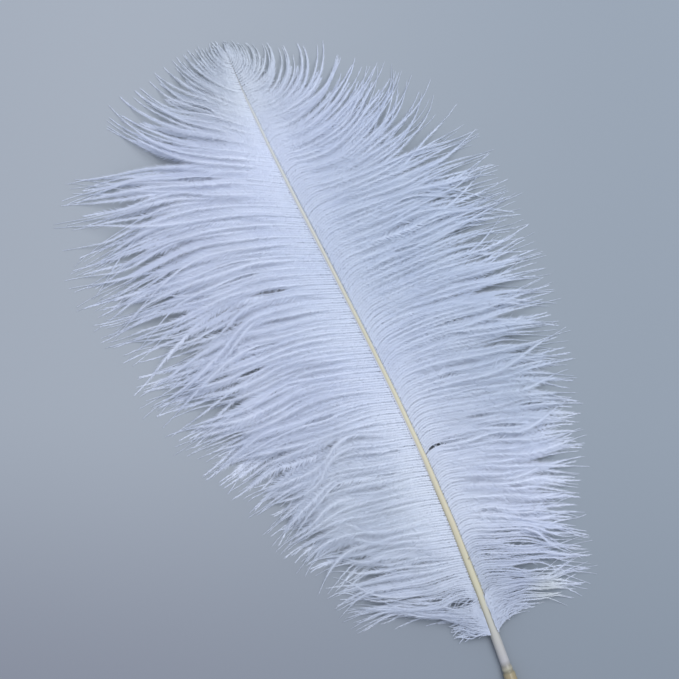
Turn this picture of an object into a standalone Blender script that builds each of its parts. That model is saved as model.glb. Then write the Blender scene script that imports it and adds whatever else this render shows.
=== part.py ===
"""Ostrich plume lying on its underside: a tapered shaft with seventy-two locks of soft barbs.

Metres, +Z up. The shaft runs along +Y from the quill end to the tip. The origin is on the
resting surface, under the middle of the plume. The whole plume is one closed faceted body.
"""

import math
import random

import bmesh
import bpy
import numpy as np

MM = 0.001

# Where the quill end lies, so that the origin is under the middle of the plume.
QUILL_X = 0.0063
QUILL_Y = -0.1584

# Shaft: stations are distances along +Y from the quill end, in millimetres.
SHAFT_END = 309.0
BEND_STATIONS = (0.0, 30.0, 60.0, 90.0, 120.0, 150.0, 180.0, 210.0, 240.0, 265.0, 290.0, 310.0)
BEND_OFFSETS = (0.0, 2.0, 4.1, 5.5, 6.0, 5.6, 4.4, 2.9, 1.2, 0.1, -0.4, 0.0)
RISE_STATIONS = (0.0, 24.0, 60.0, 120.0, 180.0, 240.0, 280.0, 300.0, 310.0)
RISE_HEIGHTS = (0.0, 0.0, 1.5, 5.5, 8.0, 7.5, 5.0, 2.8, 1.5)
HEADING_REACH = 12.0
RADIUS_STATIONS = (28.0, 60.0, 90.0, 165.0, 240.0, 290.0, 310.0)
RADIUS_SIZES = (2.05, 1.90, 1.70, 1.20, 0.85, 0.50, 0.25)

# Quill: the horny sheath at its end, the rim above it and the bare part up to the vane.
QUILL_STATIONS = (0.0, 1.0, 4.0, 13.0, 22.0, 24.0, 25.5, 27.0, 34.0)
QUILL_RADII = (1.20, 2.10, 2.60, 2.60, 2.60, 2.10, 2.40, 2.05, 2.00)

# Section of the shaft: angles of its corners, from the right flank round over the top.
# The first pair and the fifth and sixth hold the vane; the eighth and ninth are the flat.
SECTION_ANGLES = (5.0, 40.0, 70.0, 110.0, 140.0, 175.0, 215.0, 250.0, 290.0, 325.0)
RIGHT_LOWER, RIGHT_UPPER, LEFT_UPPER, LEFT_LOWER = 0, 1, 4, 5
FLAT_ANGLE = 250.0

# Vane: locks on each side, from the lowest down to the tip.
LOCKS_PER_SIDE = 36
VANE_START = 40.0
CROWDING = 0.30

# Lie of the barbs, measured along the shaft. Each line is a station, the angles a barb makes
# with the shaft at its root, shoulder, middle and tip in degrees, and its length.
LEFT_LIE = (
    (40, 45, 55, 60, 70, 14),
    (44, 45, 60, 66, 84, 32),
    (48, 50, 62, 70, 84, 52),
    (57, 60, 72, 78, 82, 56),
    (70, 68, 79, 78, 95, 58),
    (90, 68, 77, 76, 108, 67),
    (110, 68, 78, 83, 104, 71),
    (130, 68, 76, 86, 96, 79),
    (150, 68, 70, 89, 90, 88),
    (170, 66, 68, 84, 86, 93),
    (190, 66, 67, 88, 76, 98),
    (210, 62, 65, 84, 84, 101),
    (228, 60, 61, 78, 92, 101),
    (243, 58, 58, 73, 84, 97),
    (250, 58, 56, 68, 72, 92),
    (258, 58, 57, 57, 38, 76),
    (268, 60, 52, 52, 18, 62),
    (278, 65, 46, 46, 24, 47),
    (288, 70, 46, 38, 14, 34),
    (297, 70, 50, 28, -2, 23),
    (304, 60, 45, 20, -5, 13),
    (309, 40, 30, 10, -10, 6),
)
RIGHT_LIE = (
    (40, 35, 45, 75, 95, 14),
    (44, 40, 60, 104, 112, 28),
    (50, 42, 80, 108, 104, 42),
    (63, 48, 108, 110, 106, 49),
    (79, 50, 106, 118, 116, 53),
    (95, 50, 103, 114, 124, 57),
    (121, 48, 103, 108, 104, 68),
    (140, 46, 96, 108, 116, 73),
    (158, 46, 92, 104, 110, 77),
    (177, 46, 88, 104, 102, 80),
    (195, 46, 90, 100, 86, 82),
    (213, 48, 95, 96, 98, 82),
    (231, 50, 97, 95, 94, 79),
    (241, 50, 98, 93, 82, 75),
    (250, 50, 106, 80, 50, 67),
    (260, 50, 104, 70, 50, 59),
    (268, 50, 102, 68, 46, 53),
    (274, 52, 104, 66, 38, 49),
    (280, 60, 105, 58, 0, 40),
    (287, 60, 112, 44, 2, 31),
    (293, 75, 90, 42, -20, 24),
    (298, 75, 78, 15, -25, 18),
    (304, 45, 50, 0, -18, 11),
    (309, 20, 10, -5, -10, 6),
)
ANGLE_PLACES = (0.0, 0.12, 0.50, 1.0)

# Rows of a lock, as shares of its length, and the rows at which two locks may part.
ROWS = (0.0, 0.05, 0.12, 0.22, 0.35, 0.48, 0.60, 0.71, 0.81, 0.91, 1.0)
PARTING_ROWS = (6, 7, 5, 8, 6, 7, 5)
TIP_ROW = len(ROWS) - 1
PATH_STEPS = 40

# The outer ends of the locks lie on the surface from this share of their length on.
LYING_SHARE = 0.91

# Thickness of a lock along its middle, at its root and at its tip, the loft that its barbules
# give it between them, and the share of it all that the lock keeps at its edges.
ROOT_THICKNESS = 2.2
TIP_THICKNESS = 1.0
THICKNESS_PER_LENGTH = 0.06
SMALLEST_THICKNESS = 0.5
LOFT_PER_LENGTH = 0.042
EDGE_SHARE = 0.55

# How far a lock arches, how far every other lock rides up, and how much lengths vary.
ARCH_PER_LENGTH = 0.03
LAYER_STEP = 0.8
LENGTH_SPREAD = 0.05
FINGER_TAPER = 0.55
SEED = 24

FEATHER_COLOUR = (0.86, 0.87, 0.92, 1.0)
FEATHER_ROUGHNESS = 0.85


def remove_objects():
    """Start from an empty scene."""
    for item in list(bpy.data.objects):
        bpy.data.objects.remove(item, do_unlink=True)


def shaft_place(station):
    """Sideways offset and underside height of the shaft at a station, in millimetres."""
    offset = float(np.interp(station, BEND_STATIONS, BEND_OFFSETS))
    rise = float(np.interp(station, RISE_STATIONS, RISE_HEIGHTS))
    return offset, rise


def shaft_heading(station):
    """Direction of the shaft seen from above, in radians from +X."""
    ahead, _ = shaft_place(station + HEADING_REACH)
    behind, _ = shaft_place(station - HEADING_REACH)
    return math.atan2(2.0 * HEADING_REACH, ahead - behind)


def shaft_radius(station):
    """Radius of the shaft above the quill, in millimetres."""
    return float(np.interp(station, RADIUS_STATIONS, RADIUS_SIZES))


def section_points(station, radius):
    """Corners of the shaft's section at a station, as (x, y, z) in millimetres."""
    offset, rise = shaft_place(station)
    across = shaft_heading(station) - math.pi / 2.0
    middle_height = rise - radius * math.sin(math.radians(FLAT_ANGLE))
    points = []
    for angle in SECTION_ANGLES:
        turn = math.radians(angle)
        reach = radius * math.cos(turn)
        points.append((
            offset + reach * math.cos(across),
            station + reach * math.sin(across),
            middle_height + radius * math.sin(turn),
        ))
    return points


def lie_at(lie, station):
    """Angles and length of a barb that grows at a station."""
    table = np.array(lie, dtype=float)
    return [float(np.interp(station, table[:, 0], table[:, column])) for column in range(1, 6)]


def barb_path(side, station, length_share):
    """Places of the rows along a barb seen from above, and the barb's length.

    side is -1 for the left and +1 for the right of the shaft.
    """
    lie = LEFT_LIE if side < 0 else RIGHT_LIE
    *angles, length = lie_at(lie, station)
    length *= length_share
    heading = shaft_heading(station)
    offset, _ = shaft_place(station)
    flank = shaft_radius(station) * side
    x = offset + flank * math.cos(heading - math.pi / 2.0)
    y = station + flank * math.sin(heading - math.pi / 2.0)
    shares = np.linspace(0.0, 1.0, PATH_STEPS + 1)
    xs, ys = [x], [y]
    for step in range(PATH_STEPS):
        halfway = (shares[step] + shares[step + 1]) / 2.0
        angle = math.radians(float(np.interp(halfway, ANGLE_PLACES, angles)))
        direction = heading - side * angle
        x += math.cos(direction) * length / PATH_STEPS
        y += math.sin(direction) * length / PATH_STEPS
        xs.append(x)
        ys.append(y)
    return np.interp(ROWS, shares, xs), np.interp(ROWS, shares, ys), length


def column_stations():
    """Stations of the lock edges and lock middles, closer together towards both ends."""
    span = SHAFT_END - VANE_START
    stations = []
    for column in range(2 * LOCKS_PER_SIDE + 1):
        share = column / (2 * LOCKS_PER_SIDE)
        eased = share - CROWDING * math.sin(2.0 * math.pi * share) / (2.0 * math.pi)
        stations.append(VANE_START + span * eased)
    return stations


class PlumeBody:
    """Collects the corners and faces of the plume."""

    def __init__(self):
        self.corners = []
        self.faces = []
        self.known = {}

    def corner(self, point):
        """Add a corner given in millimetres and return its number."""
        x, y, z = point
        self.corners.append((QUILL_X + x * MM, QUILL_Y + y * MM, z * MM))
        return len(self.corners) - 1

    def shared(self, key, point):
        """Return the corner kept under a key, adding it the first time."""
        if key not in self.known:
            self.known[key] = self.corner(point)
        return self.known[key]

    def face(self, loop):
        """Add a face, leaving out corners that come twice."""
        tidy = [number for place, number in enumerate(loop) if number != loop[place - 1]]
        if len(tidy) > 2:
            self.faces.append(tidy)

    def strip(self, lower_ring, upper_ring, left_out):
        """Join two shaft sections, leaving the given sides open."""
        count = len(SECTION_ANGLES)
        for place in range(count):
            following = (place + 1) % count
            if place not in left_out:
                self.face([
                    lower_ring[place],
                    lower_ring[following],
                    upper_ring[following],
                    upper_ring[place],
                ])


def build_shaft(body, stations):
    """Build the quill and the shaft, open along both flanks where the vane grows."""
    rings = []
    for station, radius in zip(QUILL_STATIONS, QUILL_RADII):
        rings.append([body.corner(point) for point in section_points(station, radius)])
    body.face(list(reversed(rings[0])))
    for lower_ring, upper_ring in zip(rings, rings[1:]):
        body.strip(lower_ring, upper_ring, ())
    vane_rings = []
    for station in stations:
        points = section_points(station, shaft_radius(station))
        vane_rings.append([body.corner(point) for point in points])
    body.strip(rings[-1], vane_rings[0], ())
    for lower_ring, upper_ring in zip(vane_rings, vane_rings[1:]):
        body.strip(lower_ring, upper_ring, (RIGHT_LOWER, LEFT_UPPER))
    body.face(vane_rings[-1])
    return vane_rings


class VaneSide:
    """One side of the vane: a fluted sheet that parts into pointed locks."""

    def __init__(self, body, side, stations, rings):
        self.body = body
        self.side = side
        self.stations = stations
        self.rings = rings
        self.upper = RIGHT_UPPER if side > 0 else LEFT_UPPER
        self.lower = RIGHT_LOWER if side > 0 else LEFT_LOWER
        chance = random.Random(SEED + side)
        self.paths = []
        for column, station in enumerate(stations):
            share = 1.0
            if column % 2:
                share += chance.uniform(-LENGTH_SPREAD, LENGTH_SPREAD)
            self.paths.append(barb_path(side, station, share))
        self.partings = [0]
        for edge in range(1, LOCKS_PER_SIDE):
            self.partings.append(PARTING_ROWS[(edge + 3 * side) % len(PARTING_ROWS)])
        self.partings.append(0)

    def underside(self, column, row):
        """Height of the underside of the vane at a column and row, in millimetres."""
        share = min(1.0, ROWS[row] / LYING_SHARE)
        _, rise = shaft_place(self.stations[column])
        root = rise + shaft_radius(self.stations[column])
        arch = ARCH_PER_LENGTH * self.paths[column][2] * math.sin(math.pi * share)
        return root * (1.0 - share * share) + arch

    def thickness(self, column, row):
        """Thickness of the vane at a column and row, in millimetres."""
        length = self.paths[column][2]
        full = ROOT_THICKNESS + (TIP_THICKNESS - ROOT_THICKNESS) * ROWS[row]
        allowed = SMALLEST_THICKNESS + THICKNESS_PER_LENGTH * length
        loft = LOFT_PER_LENGTH * length * math.sin(math.pi * ROWS[row])
        is_edge = column % 2 == 0
        return (min(full, allowed) + loft) * (EDGE_SHARE if is_edge else 1.0)

    def finger_width(self, edge, row):
        """Width of a parted lock at a row, as a share of the room it has."""
        parted_at = ROWS[self.partings[edge]]
        return ((1.0 - ROWS[row]) / (1.0 - parted_at)) ** FINGER_TAPER

    def corner(self, lock, place, row, upper):
        """Corner of a lock: place is 0 and 2 for its edges and 1 for its middle."""
        if row == 0:
            return self.rings[2 * lock + place][self.upper if upper else self.lower]
        if row == TIP_ROW:
            place = 1
        column = 2 * lock + place
        middle = 2 * lock + 1
        edge = lock + place // 2
        x, y = self.paths[column][0][row], self.paths[column][1][row]
        layer = LAYER_STEP * ROWS[row] * (lock % 2)
        if place == 1:
            key = (self.side, upper, row, "middle", lock)
            height = self.underside(middle, row) + layer
        elif row > self.partings[edge]:
            key = (self.side, upper, row, "finger", lock, place)
            width = self.finger_width(edge, row)
            middle_x, middle_y = self.paths[middle][0][row], self.paths[middle][1][row]
            x = middle_x + (x - middle_x) * width
            y = middle_y + (y - middle_y) * width
            height = self.underside(middle, row) + layer
        else:
            key = (self.side, upper, row, "edge", edge)
            height = self.underside(column, row) + LAYER_STEP * ROWS[row] / 2.0
        if upper:
            height += self.thickness(column, row)
        return self.body.shared(key, (x, y, height))

    def build_sheets(self, lock, row):
        """Add the top and the underside of a lock between two rows."""
        for place in (0, 1):
            for upper in (True, False):
                self.body.face([
                    self.corner(lock, place, row, upper),
                    self.corner(lock, place + 1, row, upper),
                    self.corner(lock, place + 1, row + 1, upper),
                    self.corner(lock, place, row + 1, upper),
                ])

    def build_walls(self, lock, row):
        """Close the sides of a lock between two rows where it has parted."""
        for place, edge in ((0, lock), (2, lock + 1)):
            if row >= self.partings[edge]:
                self.body.face([
                    self.corner(lock, place, row, True),
                    self.corner(lock, place, row + 1, True),
                    self.corner(lock, place, row + 1, False),
                    self.corner(lock, place, row, False),
                ])

    def build(self):
        """Add every lock of this side."""
        for lock in range(LOCKS_PER_SIDE):
            for row in range(TIP_ROW):
                self.build_sheets(lock, row)
                self.build_walls(lock, row)


def make_material():
    """White keratin, soft and matt."""
    material = bpy.data.materials.new("feather")
    material.use_nodes = True
    shader = material.node_tree.nodes["Principled BSDF"]
    shader.inputs["Base Color"].default_value = FEATHER_COLOUR
    shader.inputs["Roughness"].default_value = FEATHER_ROUGHNESS
    return material


def make_object(body):
    """Turn the collected faces into one mesh with its faces outwards."""
    mesh = bpy.data.meshes.new("feather")
    mesh.from_pydata(body.corners, [], body.faces)
    shell = bmesh.new()
    shell.from_mesh(mesh)
    bmesh.ops.triangulate(shell, faces=shell.faces[:])
    bmesh.ops.recalc_face_normals(shell, faces=shell.faces[:])
    shell.to_mesh(mesh)
    shell.free()
    mesh.materials.append(make_material())
    plume = bpy.data.objects.new("feather", mesh)
    bpy.context.scene.collection.objects.link(plume)
    return plume


def main():
    """Build the plume."""
    remove_objects()
    body = PlumeBody()
    stations = column_stations()
    rings = build_shaft(body, stations)
    for side in (-1, 1):
        VaneSide(body, side, stations, rings).build()
    make_object(body)


main()
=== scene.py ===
"""Looks of an ostrich plume that lies on a pale surface.

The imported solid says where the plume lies. The shaft, every barb with its barbules and the
down at the foot of the vane are built here as meshes on the same lines as the solid. Lengths
are in millimetres until a mesh is made. Stations are distances along the shaft from the quill
end, and a share of a barb goes from 0 at its root to 1 at its tip.
"""

import logging
import math
import random
from dataclasses import dataclass, field
from enum import Enum
from functools import cached_property

import bpy
import numpy as np
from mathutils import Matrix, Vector


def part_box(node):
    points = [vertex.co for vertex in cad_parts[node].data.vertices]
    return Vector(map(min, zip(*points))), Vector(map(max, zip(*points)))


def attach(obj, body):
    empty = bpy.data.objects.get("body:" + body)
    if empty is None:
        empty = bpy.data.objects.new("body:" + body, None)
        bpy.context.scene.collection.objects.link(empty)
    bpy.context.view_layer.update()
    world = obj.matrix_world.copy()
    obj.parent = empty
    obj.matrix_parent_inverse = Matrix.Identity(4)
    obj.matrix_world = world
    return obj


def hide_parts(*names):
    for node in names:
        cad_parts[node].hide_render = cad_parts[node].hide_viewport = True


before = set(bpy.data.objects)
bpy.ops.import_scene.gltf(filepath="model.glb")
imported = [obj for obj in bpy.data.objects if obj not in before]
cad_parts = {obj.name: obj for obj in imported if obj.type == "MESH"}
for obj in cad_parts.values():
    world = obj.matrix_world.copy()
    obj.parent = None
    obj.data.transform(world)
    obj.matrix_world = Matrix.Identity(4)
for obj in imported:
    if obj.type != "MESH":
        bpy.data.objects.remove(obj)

MM = 0.001
NODE = "feather"
BAKE_MAP = "OFBake"
# Where the quill end lies to the side of the middle of the plume's box, in metres.
QUILL_X = 0.0063
# How far the plume is turned in the picture, in degrees.
ROLL = 24.17
FULL_TURN = 2.0 * np.pi
TINY = 1e-9
LOG = logging.getLogger("plume")

Range = tuple[float, float]
Place = tuple[float, float, float]
Colour = tuple[float, float, float]
Stops = tuple[tuple[float, Colour], ...]


class Side(Enum):
    """Side of the shaft, seen from above with the tip away."""

    LEFT = -1
    RIGHT = 1


class Blend(Enum):
    """How one colour is laid over another."""

    MIX = "MIX"
    MULTIPLY = "MULTIPLY"


@dataclass(frozen=True)
class Curve:
    """A value that is known at a row of places, even in between and level outside."""

    places: tuple[float, ...]
    values: tuple[float, ...]

    def at(self, place: np.ndarray) -> np.ndarray:
        """Value at each place."""
        return np.interp(place, self.places, self.values)


@dataclass(frozen=True)
class Ease:
    """Soft change from 0 to 1 between a start and an end."""

    start: float | np.ndarray = 0.0
    end: float | np.ndarray = 1.0

    def at(self, place: np.ndarray) -> np.ndarray:
        """How far the change has gone at each place."""
        share = np.clip((place - self.start) / (self.end - self.start), 0.0, 1.0)
        return share * share * (3.0 - 2.0 * share)


# Stations over which the barbs come to lie as they do at the tip, and how much calmer they get.
NEAR_TIP = Ease(240.0, 274.0)
TIP_CALM = 0.5


def between(values: np.ndarray) -> np.ndarray:
    """Middles between neighbouring values."""
    return (values[1:] + values[:-1]) / 2.0


def directions(points: np.ndarray) -> np.ndarray:
    """Direction, with a length of 1, in which lines of points run at every point."""
    ahead = np.gradient(points, axis=-2)
    return ahead / (np.linalg.norm(ahead, axis=-1, keepdims=True) + TINY)


def crossways(ahead: np.ndarray) -> tuple[np.ndarray, np.ndarray]:
    """Find what lies to the right of some directions, and above them.

    Args:
        ahead: one direction in each row.

    Returns:
        Level directions to the right, and directions square to both.
    """
    across = np.cross(ahead, (0.0, 0.0, 1.0))
    across /= np.linalg.norm(across, axis=1)[:, None]
    return across, np.cross(across, ahead)


def walk(root: np.ndarray, heading: np.ndarray, length: np.ndarray) -> np.ndarray:
    """Lay lines out from their roots in even steps, seen from above.

    Args:
        root: where each line starts.
        heading: lines by steps, in radians from +X.
        length: length of each line.

    Returns:
        Points as an array of lines by places by two.
    """
    stride = (length / heading.shape[1])[:, None, None]
    steps = np.stack([np.cos(heading), np.sin(heading)], axis=2) * stride
    start = np.zeros((len(root), 1, 2))
    return root[:, None, :] + np.concatenate([start, np.cumsum(steps, axis=1)], axis=1)


def tube_cells(rings: int, sides: int) -> np.ndarray:
    """Number the corners of the cells between the rings of a tube.

    Args:
        rings: how many rings the tube has.
        sides: how many corners a ring has.

    Returns:
        Two corners of a ring and the two beyond them, for each cell.
    """
    near = np.arange((rings - 1) * sides)
    beside = near - near % sides + (near + 1) % sides
    return np.stack([near, beside, near + sides, beside + sides], axis=1)


def fan(first: int, sides: int, point: int) -> np.ndarray:
    """Close a ring with triangles that meet in a point.

    Args:
        first: number of the ring's first corner.
        sides: how many corners the ring has.
        point: number of the point.

    Returns:
        Three corner numbers for each triangle.
    """
    flank = np.arange(sides)
    return np.stack([first + flank, first + (flank + 1) % sides, np.full(sides, point)], axis=1)


@dataclass(frozen=True)
class ShaftLine:
    """Run of the shaft: bend, rise off the surface and thickness along it."""

    end: float = 309.0
    bend: Curve = Curve(
        (0, 30, 60, 90, 120, 150, 180, 210, 240, 265, 290, 310),
        (0.0, 2.0, 4.1, 5.5, 6.0, 5.6, 4.4, 2.9, 1.2, 0.1, -0.4, 0.0),
    )
    height: Curve = Curve(
        (0, 24, 60, 120, 180, 240, 280, 300, 310),
        (0.0, 0.0, 1.5, 5.5, 8.0, 7.5, 5.0, 2.8, 1.5),
    )
    radii: Curve = Curve(
        (28, 60, 90, 165, 240, 290, 310),
        (2.05, 1.92, 1.75, 1.30, 1.02, 0.82, 0.40),
    )
    root_reach: Curve = Curve((278, 298), (0.74, 0.20))
    root_rise: Curve = Curve((278, 298), (1.62, 2.30))
    heading_reach: float = 12.0

    def offset(self, station: np.ndarray) -> np.ndarray:
        """Sideways offset of the shaft at each station."""
        return self.bend.at(station)

    def rise(self, station: np.ndarray) -> np.ndarray:
        """Height of the shaft's underside at each station."""
        return self.height.at(station)

    def radius(self, station: np.ndarray) -> np.ndarray:
        """Radius of the shaft above the quill at each station."""
        return self.radii.at(station)

    def root_height(self, station: np.ndarray) -> np.ndarray:
        """Height at which the barbs grow at each station."""
        return self.rise(station) + self.radius(station) * self.root_rise.at(station)

    def heading(self, station: np.ndarray) -> np.ndarray:
        """Find which way the shaft runs, seen from above.

        Args:
            station: one number for each place along the shaft.

        Returns:
            Directions in radians from +X.
        """
        ahead = self.offset(station + self.heading_reach)
        behind = self.offset(station - self.heading_reach)
        return np.arctan2(2.0 * self.heading_reach, ahead - behind)

    def roots(self, station: np.ndarray, side: Side) -> np.ndarray:
        """Find where barbs grow, seen from above.

        Args:
            station: one number for each barb.
            side: side of the shaft that they grow on.

        Returns:
            One point for each barb.
        """
        flank = self.radius(station) * self.root_reach.at(station) * side.value
        across = self.heading(station) - np.pi / 2.0
        x = self.offset(station) + flank * np.cos(across)
        return np.stack([x, station + flank * np.sin(across)], axis=1)


@dataclass(frozen=True)
class Lie:
    """How the barbs of one side lie.

    Each row is a station, the angles that a barb makes with the shaft at its root, shoulder,
    middle and tip in degrees, and its length.
    """

    rows: tuple[tuple[float, ...], ...]
    places: tuple[float, ...] = (0.0, 0.12, 0.50, 1.0)

    def at(self, station: np.ndarray) -> tuple[np.ndarray, np.ndarray]:
        """Find how barbs lie where they grow.

        Args:
            station: one number for each barb.

        Returns:
            Four angles for each barb, and an array of lengths.
        """
        table = np.array(self.rows, dtype=float)
        columns = [np.interp(station, table[:, 0], column) for column in table[:, 1:].T]
        return np.stack(columns[:-1], axis=1), columns[-1]


@dataclass(frozen=True)
class Gap:
    """Opening between neighbouring barbs.

    It has the station where those barbs grow, how far out along them it starts and ends, and
    how wide it gets.
    """

    station: float
    start: float
    end: float
    width: float


@dataclass(frozen=True)
class Fall:
    """Lock that falls across its neighbours.

    It has the station where it grows, how far to each side of that barbs belong to it, how
    far out its bend starts, and how many degrees it turns towards the quill end.
    """

    station: float
    half_width: float
    start: float
    bend: float
    edge: Ease = Ease(0.7, 1.3)

    def held(self, station: np.ndarray) -> np.ndarray:
        """How much the barbs at the stations belong to the lock, from 0 to 1."""
        return 1.0 - self.edge.at(np.abs(station - self.station) / self.half_width)


LEFT_LIE = Lie((
    (40, 45, 55, 60, 70, 14),
    (44, 45, 60, 66, 84, 32),
    (48, 56, 68, 72, 84, 52),
    (57, 74, 84, 78, 82, 56),
    (70, 74, 82, 78, 95, 58),
    (90, 68, 77, 76, 108, 67),
    (110, 68, 78, 83, 104, 71),
    (130, 68, 76, 86, 96, 79),
    (150, 68, 70, 89, 90, 88),
    (170, 66, 68, 84, 86, 93),
    (190, 66, 67, 88, 76, 98),
    (210, 62, 65, 84, 84, 101),
    (228, 60, 61, 78, 92, 101),
    (243, 58, 58, 73, 84, 97),
    (250, 58, 56, 68, 74, 93),
    (254.5, 58, 56, 68, 86, 91),
    (254.7, 58, 57, 57, 30, 75),
    (259, 58, 57, 57, 28, 73),
    (268, 60, 52, 52, 18, 62),
    (278, 65, 46, 46, 24, 47),
    (288, 70, 46, 38, 14, 34),
    (297, 70, 50, 28, -2, 23),
    (304, 60, 45, 20, -5, 13),
    (309, 40, 30, 10, -10, 6),
))
RIGHT_LIE = Lie((
    (40, 35, 45, 75, 95, 14),
    (44, 40, 60, 104, 112, 28),
    (50, 42, 80, 108, 104, 42),
    (63, 48, 108, 110, 106, 49),
    (79, 50, 106, 118, 116, 53),
    (95, 50, 103, 114, 124, 57),
    (121, 48, 103, 108, 104, 68),
    (140, 46, 96, 108, 116, 73),
    (158, 46, 92, 104, 110, 77),
    (177, 46, 88, 104, 102, 80),
    (195, 46, 90, 100, 86, 82),
    (213, 48, 95, 96, 98, 82),
    (231, 50, 97, 95, 94, 79),
    (238.8, 50, 97, 96, 95, 79),
    (239.0, 50, 104, 90, 34, 78),
    (243, 50, 104, 84, 34, 75),
    (248, 50, 105, 79, 38, 70),
    (255, 50, 105, 73, 44, 64),
    (260, 50, 104, 70, 48, 59),
    (268, 50, 102, 68, 46, 53),
    (274, 52, 104, 66, 38, 49),
    (280, 60, 105, 58, 0, 40),
    (287, 60, 112, 44, 2, 31),
    (293, 75, 90, 42, -20, 24),
    (298, 75, 78, 15, -25, 18),
    (304, 45, 50, 0, -18, 11),
    (309, 20, 10, -5, -10, 6),
))
LEFT_GAPS = tuple(Gap(*row) for row in (
    (55.3, 1, 14, 5.8), (62, 19, 31, 1.7), (65, 38, 51, 2.2), (73, 45, 53, 1.2),
    (81, 36, 44, 1.2), (79, 47, 58, 1.2), (103, 46, 57, 2.2), (96, 44, 51, 1.2),
    (116, 11, 28, 1.0), (116, 30, 45, 1.5), (124, 46, 76, 2.4), (125, 8, 11, 0.8),
    (129, 39, 49, 1.2), (141, 45, 58, 1.4), (146, 26, 38, 1.0), (152, 63, 73, 1.4),
    (161, 54, 67, 1.6), (161, 34, 50, 1.0), (162, 18, 32, 1.1), (167, 57, 76, 2.2),
    (172, 43, 58, 2.4), (180, 34, 47, 1.3), (182, 52, 57, 1.0), (195, 53, 63, 1.2),
    (200, 20, 37, 2.0), (199, 44, 61, 1.2), (203, 62, 82, 1.5), (209, 29, 46, 0.8),
    (214, 30, 53, 1.0), (218, 56, 80, 1.4), (226, 50, 70, 1.5), (228, 50, 74, 1.3),
    (249, 27, 44, 1.4), (276, 18, 30, 0.8),
))
RIGHT_GAPS = tuple(Gap(*row) for row in (
    (51, 9, 28, 1.6), (57, 2, 7, 1.2), (60, 13, 25, 2.0), (63, 22, 39, 2.6),
    (66.5, 16, 38, 5.0), (70.5, 16, 34, 2.4), (72, 3, 9, 1.0), (76.5, 15, 33, 4.0),
    (86, 42, 52, 1.9), (90, 11, 20, 1.6), (91, 27, 46, 1.6), (98, 37, 49, 1.2),
    (101, 27, 36, 1.4), (121, 0, 17, 1.2), (119, 19, 38, 1.8), (124, 29, 48, 1.6),
    (129, 23, 33, 1.1), (131, 45, 56, 1.1), (138, 24, 34, 1.3), (141, 21, 31, 1.0),
    (146, 19, 28, 1.1), (146, 42, 60, 1.4), (154, 50, 74, 2.2), (161, 22, 36, 1.0),
    (165, 24, 44, 1.0), (171, 55, 76, 1.5), (188, 41, 62, 2.4), (199, 25, 35, 1.2),
    (205, 30, 52, 1.4), (209, 27, 40, 1.0), (219, 36, 50, 1.5), (236, 38, 60, 1.4),
    (255, 40, 60, 1.6),
))
LEFT_FALLS = tuple(Fall(*row) for row in (
    (53, 1.2, 24, -16), (63, 0.9, 26, -22), (69, 1.0, 34, 22), (79, 1.0, 30, -24),
    (86, 1.2, 20, -24), (92, 1.2, 26, -28), (101, 1.8, 42, 20), (109, 1.2, 36, 26),
    (117, 1.5, 30, 28), (131, 2.6, 24, 34), (140, 0.9, 56, -22), (149, 1.6, 50, 22),
    (156, 1.0, 54, -16), (170, 0.9, 60, -20), (181, 1.4, 42, 18), (193, 2.8, 32, 24),
    (192, 0.9, 66, -24), (204, 1.0, 62, -22), (213, 1.0, 74, 18), (226, 1.0, 70, -18),
    (236, 1.6, 60, 16), (237, 0.8, 72, -28), (244, 0.9, 58, -18), (252, 0.9, 50, 18),
))
RIGHT_FALLS = tuple(Fall(*row) for row in (
    (54, 1.0, 24, 18), (58.5, 1.4, 22, -40), (72, 1.0, 34, 14), (83, 2.2, 24, 26),
    (95, 1.0, 30, -18), (104, 2.6, 26, -24), (112, 1.6, 32, -26), (119, 1.6, 36, -22),
    (127, 1.2, 42, 20), (136, 1.0, 46, -18), (148, 1.0, 52, 20), (158, 0.9, 46, -18),
    (169, 1.0, 50, 18), (178, 1.0, 48, 16), (187, 1.2, 58, -18), (200, 1.2, 52, -22),
    (206, 1.4, 46, 16), (215, 1.0, 54, -20), (221, 1.8, 40, 20), (228, 1.0, 54, -28),
    (247, 0.9, 36, -18),
))
# The barbs underneath part as well where an opening is as wide as this.
WIDE_GAP = 2.0
# How fluffy the barbs of each side are at these stations.
FLUFF_STATIONS = (50, 60, 80, 90, 120, 150, 190, 235, 262, 280, 296, 303, 309)
LEFT_FLUFF = Curve(
    FLUFF_STATIONS,
    (0.45, 0.52, 1.00, 1.55, 1.60, 1.30, 1.10, 0.95, 0.85, 0.50, 0.35, 0.90, 1.00),
)
RIGHT_FLUFF = Curve(
    FLUFF_STATIONS,
    (0.50, 0.42, 0.50, 1.15, 1.60, 1.35, 0.80, 0.70, 0.75, 0.42, 0.30, 0.35, 0.80),
)


@dataclass(frozen=True)
class LockPlan:
    """How the barbs of a side gather into locks, as in the solid."""

    count: int = 36
    start: float = 40.0
    end: float = 309.0
    crowding: float = 0.30
    length_spread: float = 0.05
    seed: int = 24
    arch_per_length: float = 0.03
    lying_share: float = 0.91

    def columns(self) -> np.ndarray:
        """Find where the locks grow, which are narrower near both ends of the vane.

        Returns:
            Stations of their edges and middles, in turn.
        """
        share = np.arange(2 * self.count + 1) / (2 * self.count)
        eased = share - self.crowding * np.sin(FULL_TURN * share) / FULL_TURN
        return self.start + (self.end - self.start) * eased

    def edges(self) -> np.ndarray:
        """Stations where one lock ends and the next starts."""
        return self.columns()[::2]

    def middles(self) -> np.ndarray:
        """Stations of the locks' middle barbs."""
        return self.columns()[1::2]

    def length_shares(self, side: Side) -> np.ndarray:
        """Choose how long the locks are.

        Args:
            side: side of the shaft.

        Returns:
            Share of its usual length that each lock's middle barb has.
        """
        chance = random.Random(self.seed + side.value)
        spread = self.length_spread
        return np.array([1.0 + chance.uniform(-spread, spread) for _ in range(self.count)])


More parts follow.
